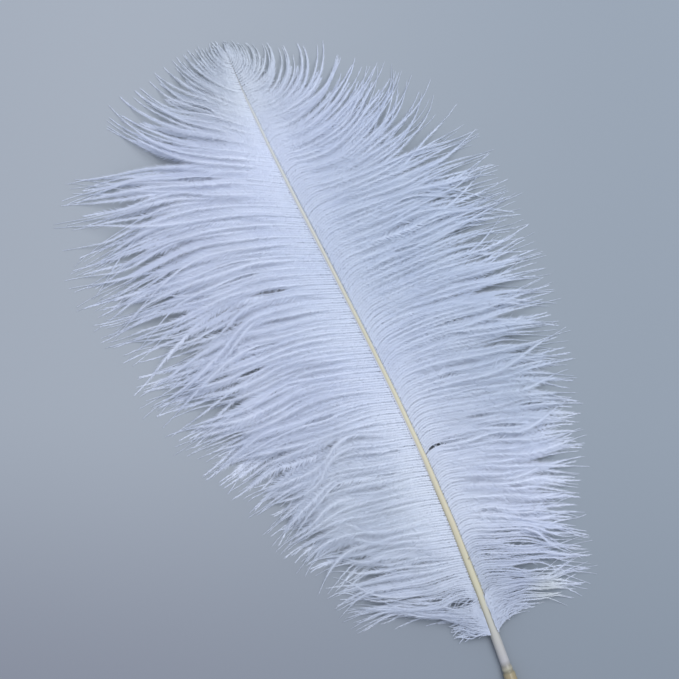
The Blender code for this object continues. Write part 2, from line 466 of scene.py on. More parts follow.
@dataclass(frozen=True)
class Growth:
    """Where each barb grows, the lock and strand it belongs to, and which go astray."""

    station: np.ndarray
    lock: np.ndarray
    across: np.ndarray
    strand: np.ndarray
    stray: np.ndarray

    @property
    def count(self) -> int:
        """How many barbs there are."""
        return len(self.station)

    @property
    def strands(self) -> int:
        """How many strands there are."""
        return int(self.strand.max()) + 1

    @property
    def near_tip(self) -> np.ndarray:
        """How near the plume's tip each barb grows, from 0 to 1."""
        return NEAR_TIP.at(self.station)

    @property
    def calm(self) -> np.ndarray:
        """Share of its unevenness that each barb keeps."""
        return 1.0 - TIP_CALM * self.near_tip


@dataclass(frozen=True)
class GrowthPlan:
    """How the barbs of a side are spread along the shaft and joined in strands."""

    count: int = 252
    unevenness: float = 0.14
    new_strand: Curve = Curve(
        (50, 76, 95, 245, 266, 288, 300),
        (0.38, 0.40, 0.76, 0.76, 0.62, 0.66, 0.80),
    )
    stray_share: float = 0.27

    def grow(self, locks: LockPlan, chance: np.random.Generator) -> Growth:
        """Choose where the barbs grow and which of them cling together.

        Args:
            locks: the locks that they belong to.
            chance: source of the unevenness.

        Returns:
            The barbs' growth, from the quill end to the tip.
        """
        even = np.linspace(locks.start, locks.end, self.count)
        uneven = even + chance.uniform(-self.unevenness, self.unevenness, self.count)
        station = np.clip(uneven, locks.start, locks.end)
        edges, middles = locks.edges(), locks.middles()
        lock = np.clip(np.searchsorted(edges, station) - 1, 0, locks.count - 1)
        half_width = (edges[1:] - edges[:-1]) / 2.0
        across = np.clip((station - middles[lock]) / half_width[lock], -1.0, 1.0)
        # A strand has barbs of one lock only.
        strand = np.cumsum(chance.random(self.count) < self.new_strand.at(station))
        _, strand = np.unique(strand * locks.count + lock, return_inverse=True)
        stray = chance.random(self.count) < self.stray_share
        return Growth(station, lock, across, strand, stray)


@dataclass(frozen=True)
class TurnPlan:
    """How far barbs turn away from the usual angles, in degrees."""

    wiggle: float = 1.7
    wiggle_turns: tuple[float, float] = (8.0, 17.0)
    fine_wiggle: float = 0.8
    wiggle_onset: Ease = Ease(0.05, 0.5)
    bent_share: float = 0.12
    bent_turn: float = 15.0
    strand_turn: float = 6.0
    strand_onset: Ease = Ease(0.45, 0.95)
    stray_turn: float = 14.0
    stray_onset: Ease = Ease(0.30, 0.85)
    fall_reach: float = 14.0

    def turns(self, growth: Growth, length: np.ndarray, falls: tuple[Fall, ...], share: np.ndarray,
              chance: np.random.Generator) -> np.ndarray:
        """Turn the barbs, their strands and the locks that fall.

        Args:
            growth: where the barbs grow.
            length: usual length of the barbs there.
            falls: locks that fall across their neighbours.
            share: where along a barb each step is.
            chance: source of the unevenness.

        Returns:
            Extra angle of each barb at each step, towards the quill end.
        """
        phase = chance.uniform(0.0, FULL_TURN, (2, growth.count))[:, :, None]
        broad, fine = (np.sin(turns * share + own) for turns, own in zip(self.wiggle_turns, phase))
        turn = self.wiggle * self.wiggle_onset.at(share) * (broad + self.fine_wiggle * fine)
        bent = chance.random(growth.strands) < self.bent_share
        strand_turn = chance.normal(0.0, np.where(bent, self.bent_turn, self.strand_turn))
        turn = turn + strand_turn[growth.strand][:, None] * self.strand_onset.at(share)
        stray_turn = chance.normal(0.0, self.stray_turn, growth.count) * growth.stray
        turn = turn + stray_turn[:, None] * self.stray_onset.at(share)
        turn = turn * growth.calm[:, None]
        distance = length[:, None] * share
        for fall in falls:
            onset = Ease(fall.start, fall.start + self.fall_reach).at(distance)
            turn = turn + fall.held(growth.station)[:, None] * fall.bend * onset
        return turn


@dataclass(frozen=True)
class LengthPlan:
    """How uneven the barbs are in length."""

    spread: float = 0.05
    short_share: float = 0.12
    short_sizes: Range = (0.60, 0.92)
    limits: Range = (0.5, 1.06)
    scale: float = 1.0
    tip_loss: float = 0.0

    def shares(self, growth: Growth, lock_share: np.ndarray, chance: np.random.Generator) -> np.ndarray:
        """Choose how long the barbs are.

        Args:
            growth: where the barbs grow.
            lock_share: share of its usual length that each lock's middle barb has.
            chance: source of the unevenness.

        Returns:
            Length of each barb as a share of the usual length where it grows.
        """
        share = 1.0 + (lock_share[growth.lock] - 1.0) * (1.0 - np.abs(growth.across))
        share = share * (1.0 + chance.normal(0.0, self.spread, growth.count))
        short = chance.random(growth.count) < self.short_share
        share = np.where(short, share * chance.uniform(*self.short_sizes, growth.count), share)
        return np.clip(share, *self.limits) * self.scale * (1.0 - self.tip_loss * growth.near_tip)


@dataclass(frozen=True)
class LockPull:
    """How the barbs of a lock draw towards its middle barb near their tips."""

    least: float = 0.05
    spread: float = 0.70
    power: float = 2.0
    tip_loss: float = 0.8
    starts: Range = (0.30, 0.62)
    end: float = 0.98
    stray_part: float = 0.2

    def gather(self, plan: np.ndarray, middle: np.ndarray, locks: LockPlan, growth: Growth,
               share: np.ndarray, chance: np.random.Generator) -> np.ndarray:
        """Draw the barbs of each lock together.

        Args:
            plan: points of the barbs from above.
            middle: points of each lock's middle barb from above.
            locks: the locks.
            growth: where the barbs grow.
            share: places along a barb.
            chance: source of the unevenness.

        Returns:
            The barbs' new points.
        """
        pull = self.least + self.spread * chance.random(locks.count) ** self.power
        pull = pull * (1.0 - self.tip_loss * NEAR_TIP.at(locks.middles()))
        start = chance.uniform(*self.starts, locks.count)
        amount = Ease(start[:, None], self.end).at(share) * pull[:, None]
        amount = amount[growth.lock] * np.where(growth.stray, self.stray_part, 1.0)[:, None]
        return plan + (middle[growth.lock] - plan) * amount[:, :, None]


@dataclass(frozen=True)
class StrandPull:
    """How a few neighbours cling together in a strand."""

    pull: float = 0.60
    foot_pull: float = 0.90
    tip_pull: float = 0.72
    foot_stations: Range = (66, 92)
    starts: Range = (0.15, 0.60)
    tip_sooner: float = 0.45
    end: float = 0.95
    tip_shorter: float = 0.30
    stray_part: float = 0.15
    tip_stray_part: float = 0.6

    def gather(self, plan: np.ndarray, growth: Growth, share: np.ndarray,
               chance: np.random.Generator) -> np.ndarray:
        """Draw the barbs of each strand together.

        Args:
            plan: points of the barbs from above.
            growth: where the barbs grow.
            share: places along a barb.
            chance: source of the unevenness.

        Returns:
            The barbs' new points.
        """
        size = np.bincount(growth.strand).astype(float)
        centre = np.zeros((len(size), *plan.shape[1:]))
        np.add.at(centre, growth.strand, plan)
        centre = centre / size[:, None, None]
        near_tip = growth.near_tip
        start = chance.uniform(*self.starts, len(size))[growth.strand] * (1.0 - self.tip_sooner * near_tip)
        end = self.end - self.tip_shorter * near_tip
        cling = Ease(start[:, None], end[:, None]).at(share)
        pull = np.interp(growth.station, self.foot_stations, (self.foot_pull, self.pull))
        pull = pull + (self.tip_pull - self.pull) * near_tip
        stray_part = self.stray_part + self.tip_stray_part * near_tip
        cling = cling * (np.where(growth.stray, stray_part, 1.0) * pull)[:, None]
        return plan + (centre[growth.strand] - plan) * cling[:, :, None]


@dataclass(frozen=True)
class Drift:
    """Slow uneven drift that draws neighbouring barbs together and parts them again."""

    wave: float
    turns: int
    amount: float

    def at(self, station: np.ndarray, share: np.ndarray, chance: np.random.Generator) -> np.ndarray:
        """Find how far the barbs drift sideways.

        Args:
            station: where each barb grows.
            share: places along a barb.
            chance: source of the unevenness.

        Returns:
            Array of barbs by places, in millimetres towards the tip.
        """
        across = (station - station.min()) / self.wave
        along = share * self.turns
        knots = chance.normal(0.0, self.amount, (int(across.max()) + 2, self.turns + 2))
        row, column = across.astype(int), along.astype(int)
        down = Ease().at(across - row)[:, None]
        over = Ease().at(along - column)[None, :]
        near = knots[row][:, column] * (1.0 - over) + knots[row][:, column + 1] * over
        far = knots[row + 1][:, column] * (1.0 - over) + knots[row + 1][:, column + 1] * over
        return near * (1.0 - down) + far * down


@dataclass(frozen=True)
class GapPlan:
    """How barbs part where an opening shows, and how their barbules keep out of it."""

    scale: float = 0.62
    # How far from an opening barbs still make room for it.
    least_reach: float = 1.5
    reach_per_width: float = 2.6
    end_room: float = 1.0
    # How much shorter the barbules beside it are, fading with the distance.
    trim: float = 1.2
    trim_reach: float = 2.4
    most_trim: float = 0.92

    def part(self, gaps: tuple[Gap, ...], growth: Growth,
             distance: np.ndarray) -> tuple[np.ndarray, np.ndarray, np.ndarray]:
        """Part the barbs.

        Args:
            gaps: the openings.
            growth: where the barbs grow.
            distance: how far out each place of each barb is.

        Returns:
            How far each place moves towards the tip, and the share of their reach that the
            barbules on the quill side and on the tip side of each barb keep.
        """
        shift = np.zeros_like(distance)
        quill_trim = np.ones_like(distance)
        tip_trim = np.ones_like(distance)
        for gap in gaps:
            width = gap.width * self.scale
            away = growth.station - gap.station
            middle = (gap.start + gap.end) / 2.0
            place = (distance - middle) / ((gap.end - gap.start) / 2.0 + self.end_room)
            lens = np.clip(1.0 - place * place, 0.0, 1.0)
            reach = self.least_reach + self.reach_per_width * width
            near = np.clip(1.0 - np.abs(away) / reach, 0.0, 1.0)
            shift += (np.sign(away) * near)[:, None] * lens * width / 2.0
            trim = np.clip(self.trim - np.abs(away) / self.trim_reach, 0.0, self.most_trim)
            kept = 1.0 - trim[:, None] * np.sqrt(lens)
            beyond = (away > 0)[:, None]
            quill_trim = np.where(beyond, quill_trim * kept, quill_trim)
            tip_trim = np.where(beyond, tip_trim, tip_trim * kept)
        return shift, quill_trim, tip_trim


@dataclass(frozen=True)
class HeightPlan:
    """How high barbs lie, and how they pass over and under each other."""

    # How much lower the whole layer lies, and its roots at most.
    drop: float = 0.0
    most_root_drop: float = 0.9
    root_lift: float = 0.4
    root_onset: Ease = Ease(0.0, 0.08)
    # How far strands, barbs and strays differ in height, as shares of the loft.
    strand_depths: Range = (-0.6, 1.0)
    barb_depth: float = 0.3
    stray_depth: float = 0.9
    loft: float = 1.1
    loft_onset: Ease = Ease(0.04, 0.30)
    loft_end: Ease = Ease(0.70, 1.0)
    full_length: float = 60.0
    # Strands roll up and down along their length, and a lock that falls lies on its neighbours.
    roll_waves: Range = (1.2, 2.8)
    roll_height: float = 0.55
    fall_lift: float = 1.1
    fall_onset: Range = (-4.0, 8.0)
    lowest: float = 0.35

    def heights(self, growth: Growth, falls: tuple[Fall, ...], length: np.ndarray, share: np.ndarray,
                line: ShaftLine, locks: LockPlan, chance: np.random.Generator) -> np.ndarray:
        """Find how high every place of every barb is.

        Args:
            growth: where the barbs grow.
            falls: locks that fall across their neighbours.
            length: length of each barb.
            share: places along a barb, as one row.
            line: run of the shaft.
            locks: the locks that the barbs belong to.
            chance: source of the unevenness.

        Returns:
            Array of barbs by places.
        """
        lying = np.minimum(1.0, share / locks.lying_share)
        root_drop = min(self.drop, self.most_root_drop)
        root = line.root_height(growth.station)[:, None] - root_drop
        arch = locks.arch_per_length * length[:, None] * np.sin(np.pi * lying)
        lowered = (self.root_lift - self.drop + root_drop) * self.root_onset.at(share)
        height = root * (1.0 - lying * lying) + arch + lowered
        depth = chance.uniform(*self.strand_depths, growth.strands)[growth.strand]
        depth = depth + chance.normal(0.0, self.barb_depth, growth.count)
        depth = depth + self.stray_depth * growth.stray
        waves = chance.uniform(*self.roll_waves, growth.strands)[growth.strand][:, None]
        phase = chance.uniform(0.0, FULL_TURN, growth.strands)[growth.strand][:, None]
        rise = self.loft * depth[:, None] + self.roll_height * np.sin(FULL_TURN * waves * share + phase)
        for fall in falls:
            before, after = self.fall_onset
            over = Ease(fall.start + before, fall.start + after).at(length[:, None] * share)
            rise = rise + self.fall_lift * fall.held(growth.station)[:, None] * over
        scale = np.minimum(1.0, length / self.full_length)[:, None]
        room = self.loft_onset.at(share) * (1.0 - self.loft_end.at(share))
        return np.maximum(height + scale * rise * room, self.lowest)


@dataclass(frozen=True)
class FluffPlan:
    """How far barbules stand out and how wide they spread, with 1 as the usual amount."""

    # Fluff of the outer barbs along the shaft, and where on a barb it starts and is full.
    vane: Curve
    stray_part: float = 0.75
    unevenness: Range = (0.55, 1.3)
    fall_gain: float = 0.25
    onset: Curve = Curve((50, 76, 95), (0.0, 0.04, 0.35))
    onset_reach: Curve = Curve((50, 76, 95), (0.12, 0.14, 0.40))
    # Most fluff near a barb's end, fluff along the barbs at the plume's tip, and less of it at
    # the vane's edge.
    most: Curve = Curve((0.70, 0.92), (3.0, 1.1))
    tip: Curve = Curve((0.0, 0.18, 0.38, 0.60, 0.85, 1.0), (1.5, 1.15, 0.85, 0.62, 0.80, 1.6))
    edge_amount: Curve = Curve((70, 90, 235, 252), (0.0, 1.0, 1.0, 0.0))
    edge: Curve = Curve((0.0, 0.62, 0.80, 0.92, 1.0), (1.0, 1.0, 0.80, 0.70, 0.95))

    def amounts(self, growth: Growth, falls: tuple[Fall, ...], share: np.ndarray,
                chance: np.random.Generator) -> np.ndarray:
        """Find how fluffy every place of every barb is.

        Args:
            growth: where the barbs grow.
            falls: locks that fall across their neighbours.
            share: places along a barb, as one row.
            chance: source of the unevenness.

        Returns:
            Array of barbs by places.
        """
        outer = self.vane.at(growth.station) * np.where(growth.stray, self.stray_part, 1.0)
        outer = outer * chance.uniform(*self.unevenness, growth.count)
        for fall in falls:
            outer = outer * (1.0 + self.fall_gain * fall.held(growth.station))
        onset = self.onset.at(growth.station)[:, None]
        reach = self.onset_reach.at(growth.station)[:, None]
        fluff = 1.0 + (outer[:, None] - 1.0) * Ease().at((share - onset) / reach)
        fluff = np.minimum(fluff, self.most.at(share))
        fluff = fluff + (self.tip.at(share) - fluff) * growth.near_tip[:, None]
        edge_amount = self.edge_amount.at(growth.station)[:, None]
        return fluff * (1.0 + edge_amount * (self.edge.at(share) - 1.0))


@dataclass
class BarbPaths:
    """Middle lines of a set of barbs, and how their stems and barbules spread."""

    points: np.ndarray
    lengths: np.ndarray
    flares: np.ndarray
    fluff: np.ndarray
    quill_trim: np.ndarray
    tip_trim: np.ndarray


@dataclass
class BarbField:
    """Lays out every barb of one layer on one side of the shaft."""

    side: Side
    lie: Lie
    gaps: tuple[Gap, ...]
    falls: tuple[Fall, ...]
    fluff: FluffPlan
    growing: GrowthPlan = GrowthPlan()
    turning: TurnPlan = TurnPlan()
    lengths: LengthPlan = LengthPlan()
    lock_pull: LockPull = LockPull()
    drifts: tuple[Drift, ...] = (Drift(13.0, 3, 1.2), Drift(4.4, 4, 0.85))
    drift_onset: Ease = Ease(0.04, 0.5)
    drift_length: float = 55.0
    strand_pull: StrandPull = StrandPull()
    parting: GapPlan = GapPlan()
    heights: HeightPlan = HeightPlan()
    flares: Curve = Curve((40, 62, 86, 110), (0.0, 0.10, 0.80, 1.0))
    line: ShaftLine = ShaftLine()
    locks: LockPlan = LockPlan()
    steps: int = 60
    seed: int = 7
    seed_step: int = 10

    def shares(self) -> np.ndarray:
        """Places along a barb."""
        return np.linspace(0.0, 1.0, self.steps + 1)

    def plan(self, station: np.ndarray, length_share: np.ndarray,
             turn: np.ndarray | float) -> tuple[np.ndarray, np.ndarray]:
        """Lay barbs out seen from above.

        Args:
            station: where each barb grows.
            length_share: each barb's length as a share of the usual one there.
            turn: extra angle of each barb at each step, in degrees.

        Returns:
            Points as an array of barbs by places by two, and the lengths.
        """
        angles, length = self.lie.at(station)
        # A short barb keeps the angles that its longer neighbours have at that distance.
        reached = between(self.shares())[None, :] * np.minimum(length_share, 1.0)[:, None]
        parts = [np.interp(reached, self.lie.places, row) for row in np.eye(len(self.lie.places))]
        angle = sum(part * angles[:, place][:, None] for place, part in enumerate(parts))
        heading = self.line.heading(station)[:, None] - self.side.value * np.radians(angle + turn)
        length = length * length_share
        return walk(self.line.roots(station, self.side), heading, length), length

    def sideways(self, plan: np.ndarray) -> np.ndarray:
        """Direction across each barb that points towards the plume's tip."""
        ahead = directions(plan)
        return np.stack([-ahead[:, :, 1], ahead[:, :, 0]], axis=2) * self.side.value

    def drift(self, plan: np.ndarray, growth: Growth, length: np.ndarray,
              chance: np.random.Generator) -> np.ndarray:
        """Let the barbs drift together and apart.

        Args:
            plan: points of the barbs from above.
            growth: where the barbs grow.
            length: length of each barb.
            chance: source of the unevenness.

        Returns:
            The barbs' new points.
        """
        share = self.shares()
        shift = sum(drift.at(growth.station, share, chance) for drift in self.drifts)
        scale = np.minimum(1.0, length / self.drift_length) * growth.calm
        shift = shift * self.drift_onset.at(share)[None, :] * scale[:, None]
        return plan + shift[:, :, None] * self.sideways(plan)

    def build(self) -> BarbPaths:
        """Lay out the barbs, gather them, part them and give them height and fluff.

        Returns:
            The barbs' paths.
        """
        chance = np.random.default_rng(self.seed + self.seed_step * (self.side.value + 1))
        share = self.shares()[None, :]
        growth = self.growing.grow(self.locks, chance)
        _, usual = self.lie.at(growth.station)
        halfway = between(self.shares())[None, :]
        turn = self.turning.turns(growth, usual, self.falls, halfway, chance)
        lock_share = self.locks.length_shares(self.side)
        length_share = self.lengths.shares(growth, lock_share, chance)
        plan, length = self.plan(growth.station, length_share, turn)
        middle, _ = self.plan(self.locks.middles(), lock_share, 0.0)
        plan = self.lock_pull.gather(plan, middle, self.locks, growth, share, chance)
        plan = self.drift(plan, growth, length, chance)
        plan = self.strand_pull.gather(plan, growth, share, chance)
        distance = length[:, None] * share
        shift, quill_trim, tip_trim = self.parting.part(self.gaps, growth, distance)
        plan = plan + shift[:, :, None] * self.sideways(plan)
        height = self.heights.heights(growth, self.falls, length, share, self.line, self.locks, chance)
        fluff = self.fluff.amounts(growth, self.falls, share, chance)
        points = np.concatenate([plan, height[:, :, None]], axis=2)
        return BarbPaths(points, length, self.flares.at(growth.station), fluff, quill_trim, tip_trim)


@dataclass
class MeshParts:
    """Corners, triangles and map places that make up one mesh."""

    corners: list[np.ndarray] = field(default_factory=list)
    triangles: list[np.ndarray] = field(default_factory=list)
    places: list[np.ndarray] = field(default_factory=list)
    count: int = 0

    def add(self, corners: np.ndarray, triangles: np.ndarray, places: np.ndarray) -> None:
        """Add corners with their triangles.

        Args:
            corners: array of points in millimetres.
            triangles: array of three corner numbers each, counted from these corners.
            places: array of a map place for each corner of each triangle.
        """
        self.corners.append(corners)
        self.triangles.append(triangles + self.count)
        self.places.append(places)
        self.count += len(corners)

    def make(self, name: str, origin: Vector, material: bpy.types.Material) -> bpy.types.Object:
        """Make one object from everything that was added.

        Args:
            name: name of the object.
            origin: where the quill end lies, in metres.
            material: what the object is made of.

        Returns:
            The object, in the scene.
        """
        corners = np.concatenate(self.corners) * MM + np.array(origin)
        triangles = np.concatenate(self.triangles).astype(np.int32)
        places = np.concatenate(self.places).astype(np.float32)
        mesh = bpy.data.meshes.new(name)
        mesh.vertices.add(len(corners))
        mesh.vertices.foreach_set("co", corners.astype(np.float32).ravel())
        mesh.loops.add(triangles.size)
        mesh.loops.foreach_set("vertex_index", triangles.ravel())
        mesh.polygons.add(len(triangles))
        mesh.polygons.foreach_set("loop_start", np.arange(0, triangles.size, 3, dtype=np.int32))
        layer = mesh.uv_layers.new(name=BAKE_MAP)
        layer.data.foreach_set("uv", places.ravel())
        mesh.update(calc_edges=True)
        mesh.validate()
        mesh.materials.append(material)
        shown = bpy.data.objects.new(name, mesh)
        bpy.context.scene.collection.objects.link(shown)
        return shown


# Where along a barb the reaches and angles of its barbules are known.
BARB_PLACES = (0.0, 0.05, 0.10, 0.18, 0.32, 0.60, 0.85, 1.0)


@dataclass
class BarbBuilder:
    """Gives each middle line a tapered three-sided stem and two rows of barbules."""

    side: Side
    # How far apart, how long and at which angle the barbules grow.
    spacing: float = 0.120
    reaches: Curve = Curve(BARB_PLACES, (1.20, 1.30, 1.65, 2.50, 3.40, 3.60, 2.30, 1.00))
    angles: Curve = Curve(BARB_PLACES, (42.0, 42.0, 38.0, 37.0, 35.0, 30.0, 15.0, 6.0))
    # Radius of the stem at both ends, and how it is cut into rings.
    stem_root: float = 0.14
    stem_tip: float = 0.085
    stem_steps: int = 20
    stem_crowding: float = 1.5
    # Corners of a ring as shares of a full turn, and where they are on the barb's strip of the map.
    stem_corners: tuple[float, ...] = (0.25, 7.0 / 12.0, 11.0 / 12.0)
    stem_strip: tuple[float, ...] = (0.45, 0.5, 0.55)
    # How much the stem broadens at the shaft, and how far out that ends.
    flare: float = 0.36
    flare_reach: float = 3.0
    # Barbules of short barbs are fewer and shorter.
    least_count: int = 12
    least_size: float = 0.35
    full_length: float = 60.0
    reach_power: float = 0.4
    reach_spread: Range = (0.45, 1.2)
    # Some barbules still reach into an opening.
    untrimmed_share: float = 0.12
    angle_spread: Curve = Curve((0.0, 1.0), (10.0, 4.0))
    # How far barbules point up, and how unevenly, in degrees.
    lift: float = 7.0
    tilt: float = 24.0
    tilt_onset: Curve = Curve((0.0, 0.3), (0.35, 1.0))
    foot_steps: int = 2
    lowest: float = 0.08
    strip_reach: float = 0.4
    seed: int = 100

    def stem(self, paths: BarbPaths, number: int, column: Range, parts: MeshParts) -> None:
        """Add a stem that broadens where it grows and closes at both ends.

        Args:
            paths: middle lines of the barbs.
            number: which of them this is.
            column: lowest and highest map place across the barb.
            parts: mesh that the stem is added to.
        """
        points = paths.points[number]
        even = np.linspace(0.0, 1.0, self.stem_steps + 1)
        # The rings are closer near the root, where the stem is broader.
        picks = np.unique(np.rint((len(points) - 1) * even ** self.stem_crowding).astype(int))
        share = picks / (len(points) - 1)
        middle = points[picks]
        ahead = directions(middle)
        across, upward = crossways(ahead)
        radius = (self.stem_root + (self.stem_tip - self.stem_root) * share)[:, None]
        flare = np.clip(1.0 - share * paths.lengths[number] / self.flare_reach, 0.0, 1.0)[:, None]
        wide = radius + self.flare * flare * paths.flares[number]
        ring = []
        for turn in self.stem_corners:
            angle = turn * FULL_TURN
            ring.append(middle + wide * math.cos(angle) * across + radius * math.sin(angle) * upward)
        sides = len(ring)
        tip = middle[-1] + ahead[-1] * self.stem_root
        corners = np.vstack([np.stack(ring, axis=1).reshape(-1, 3), tip])
        split = (0, 1, 2, 1, 3, 2)
        wall = tube_cells(len(picks), sides)[:, split].reshape(-1, 3)
        end = fan(len(corners) - 1 - sides, sides, len(corners) - 1)
        triangles = np.vstack([wall, end, (0, 2, 1)])
        sideways = np.append(np.tile(self.stem_strip, len(picks)), self.stem_strip[1])
        low, high = column
        along = np.append(np.repeat(share, sides), 1.0)
        places = np.stack([low + (high - low) * sideways, along], axis=1)
        parts.add(corners, triangles, places[triangles.ravel()])

    def barbules(self, paths: BarbPaths, number: int, column: Range, chance: np.random.Generator,
                 parts: MeshParts) -> None:
        """Add barbules on both sides of a middle line.

        Args:
            paths: middle lines of the barbs.
            number: which of them this is.
            column: lowest and highest map place across the barb.
            chance: source of the unevenness.
            parts: mesh that the barbules are added to.
        """
        points, length = paths.points[number], paths.lengths[number]
        count = max(self.least_count, int(length / self.spacing))
        share = np.linspace(0.0, 1.0, count + 1)
        known = np.linspace(0.0, 1.0, len(points))
        middle = np.stack([np.interp(share, known, axis) for axis in points.T], axis=1)
        base, ahead, halfway = between(middle), between(directions(middle)), between(share)
        across, upward = crossways(ahead)
        fluff = np.interp(halfway, known, paths.fluff[number])
        size = min(1.0, self.least_size + length / self.full_length)
        usual_reach = self.reaches.at(halfway) * size * fluff ** self.reach_power
        usual_angle = self.angles.at(halfway) * fluff
        near = np.arange(count)
        far = np.minimum(near + self.foot_steps, count)
        corners, triangles, places = [middle], [], []
        for row, flank in enumerate((-1.0, 1.0)):
            trims = paths.quill_trim if flank * self.side.value > 0 else paths.tip_trim
            trim = np.interp(halfway, known, trims[number])
            reach = usual_reach * np.where(chance.random(count) < self.untrimmed_share, 1.0, trim)
            reach = reach * chance.uniform(*self.reach_spread, count)
            spread = chance.normal(0.0, 1.0, count) * self.angle_spread.at(halfway)
            angle = np.radians(usual_angle + spread)[:, None]
            tilt = chance.normal(0.0, self.tilt, count) * self.tilt_onset.at(halfway)
            tilt = np.radians(self.lift + tilt)[:, None]
            aside = flank * np.cos(tilt) * across + np.sin(tilt) * upward
            tips = base + reach[:, None] * (np.cos(angle) * ahead + np.sin(angle) * aside)
            tips[:, 2] = np.maximum(tips[:, 2], self.lowest)
            corners.append(tips)
            # Both rows face up, so the second one goes round the other way.
            order = (0, 1, 2) if flank < 0 else (1, 0, 2)
            tip = len(middle) + row * count + near
            triangles.append(np.stack([near, far, tip], axis=1)[:, order])
            # On the map each barbule has a strip of its own, half as wide as its foot.
            centre = np.full(count, 0.5)
            strip = (
                np.stack([centre, share[:-1]], axis=1),
                np.stack([centre, share[1:]], axis=1),
                np.stack([centre + self.strip_reach * flank, halfway], axis=1),
            )
            places.append(np.stack(strip, axis=1)[:, order].reshape(-1, 2))
        places = np.vstack(places)
        low, high = column
        places[:, 0] = low + (high - low) * places[:, 0]
        parts.add(np.vstack(corners), np.vstack(triangles), places)

    def build(self, name: str, paths: BarbPaths, chosen: np.ndarray, origin: Vector,
              material: bpy.types.Material) -> bpy.types.Object:
        """Make one piece of barbs.

        Args:
            name: name of the piece.
            paths: middle lines of the barbs.
            chosen: numbers of the barbs in this piece.
            origin: where the quill end lies, in metres.
            material: what the barbs are made of.

        Returns:
            The piece.
        """
        chance = np.random.default_rng(self.seed + int(chosen[0]))
        parts = MeshParts()
        for place, number in enumerate(chosen):
            column = (place / len(chosen), (place + 1) / len(chosen))
            self.stem(paths, number, column, parts)
            self.barbules(paths, number, column, chance, parts)
        return parts.make(name, origin, material)


@dataclass
class VaneLayer:
    """One layer of barbs on one side of the shaft, as pieces from the foot to the tip."""

    layout: BarbField
    builder: BarbBuilder
    words: tuple[str, ...]

    def build(self, origin: Vector, material: bpy.types.Material) -> list[bpy.types.Object]:
        """Make the pieces, which share the layer's length of barbs evenly.

        Args:
            origin: where the quill end lies, in metres.
            material: what the barbs are made of.

        Returns:
            The pieces.
        """
        paths = self.layout.build()
        load = np.cumsum(paths.lengths)
        count = len(self.words)
        piece = np.minimum((load / load[-1] * count).astype(int), count - 1)
        pieces = []
        for place, word in enumerate(self.words):
            name = f"barbs_{self.layout.side.name.lower()}_{word}"
            chosen = np.flatnonzero(piece == place)
            pieces.append(self.builder.build(name, paths, chosen, origin, material))
        return pieces


@dataclass
class Down:
    """Short soft barbs that grow in every direction from one stretch of the shaft."""

    name: str
    side: Side
    stations: Range
    root_angle: Range
    tip_angle: Range
    lengths: Range
    seed: int
    count: int = 150
    steps: int = 30
    waver: float = 26.0
    waver_turns: float = 9.0
    # Where the roots are, as a share of the shaft's radius, and how far the tips sink from there.
    top: float = 1.9
    sink: float = 0.75
    lift: Range = (0.0, 1.8)
    lowest: float = 0.4
    line: ShaftLine = ShaftLine()

    def paths(self) -> BarbPaths:
        """Lay out the soft barbs.

        Returns:
            Their paths.
        """
        chance = np.random.default_rng(self.seed)
        station = chance.uniform(*self.stations, self.count)
        length = chance.uniform(*self.lengths, self.count)
        root = chance.uniform(*self.root_angle, self.count)[:, None]
        tip = chance.uniform(*self.tip_angle, self.count)[:, None]
        share = np.linspace(0.0, 1.0, self.steps + 1)
        halfway = between(share)[None, :]
        phase = chance.uniform(0.0, FULL_TURN, self.count)[:, None]
        angle = root + (tip - root) * halfway + self.waver * np.sin(self.waver_turns * halfway + phase)
        heading = self.line.heading(station)[:, None] - self.side.value * np.radians(angle)
        plan = walk(self.line.roots(station, self.side), heading, length)
        top = (self.line.rise(station) + self.top * self.line.radius(station))[:, None]
        lift = chance.uniform(*self.lift, self.count)[:, None] * np.sin(np.pi * share)[None, :]
        height = np.maximum(top * (1.0 - self.sink * share[None, :]) + lift, self.lowest)
        whole = np.ones_like(height)
        points = np.concatenate([plan, height[:, :, None]], axis=2)
        return BarbPaths(points, length, np.zeros(self.count), whole, whole, whole)

    def build(self, origin: Vector, material: bpy.types.Material) -> bpy.types.Object:
        """Make the piece.

        Args:
            origin: where the quill end lies, in metres.
            material: what the barbs are made of.

        Returns:
            The piece.
        """
        places = (0.0, 0.12, 0.30, 0.60, 0.85, 1.0)
        builder = BarbBuilder(
            self.side, spacing=0.2, stem_root=0.045, stem_tip=0.025,
            reaches=Curve(places, (0.4, 0.7, 1.0, 1.2, 1.1, 0.5)),
            angles=Curve(places, (30.0, 30.0, 30.0, 32.0, 32.0, 28.0)),
        )
        return builder.build(self.name, self.paths(), np.arange(self.count), origin, material)


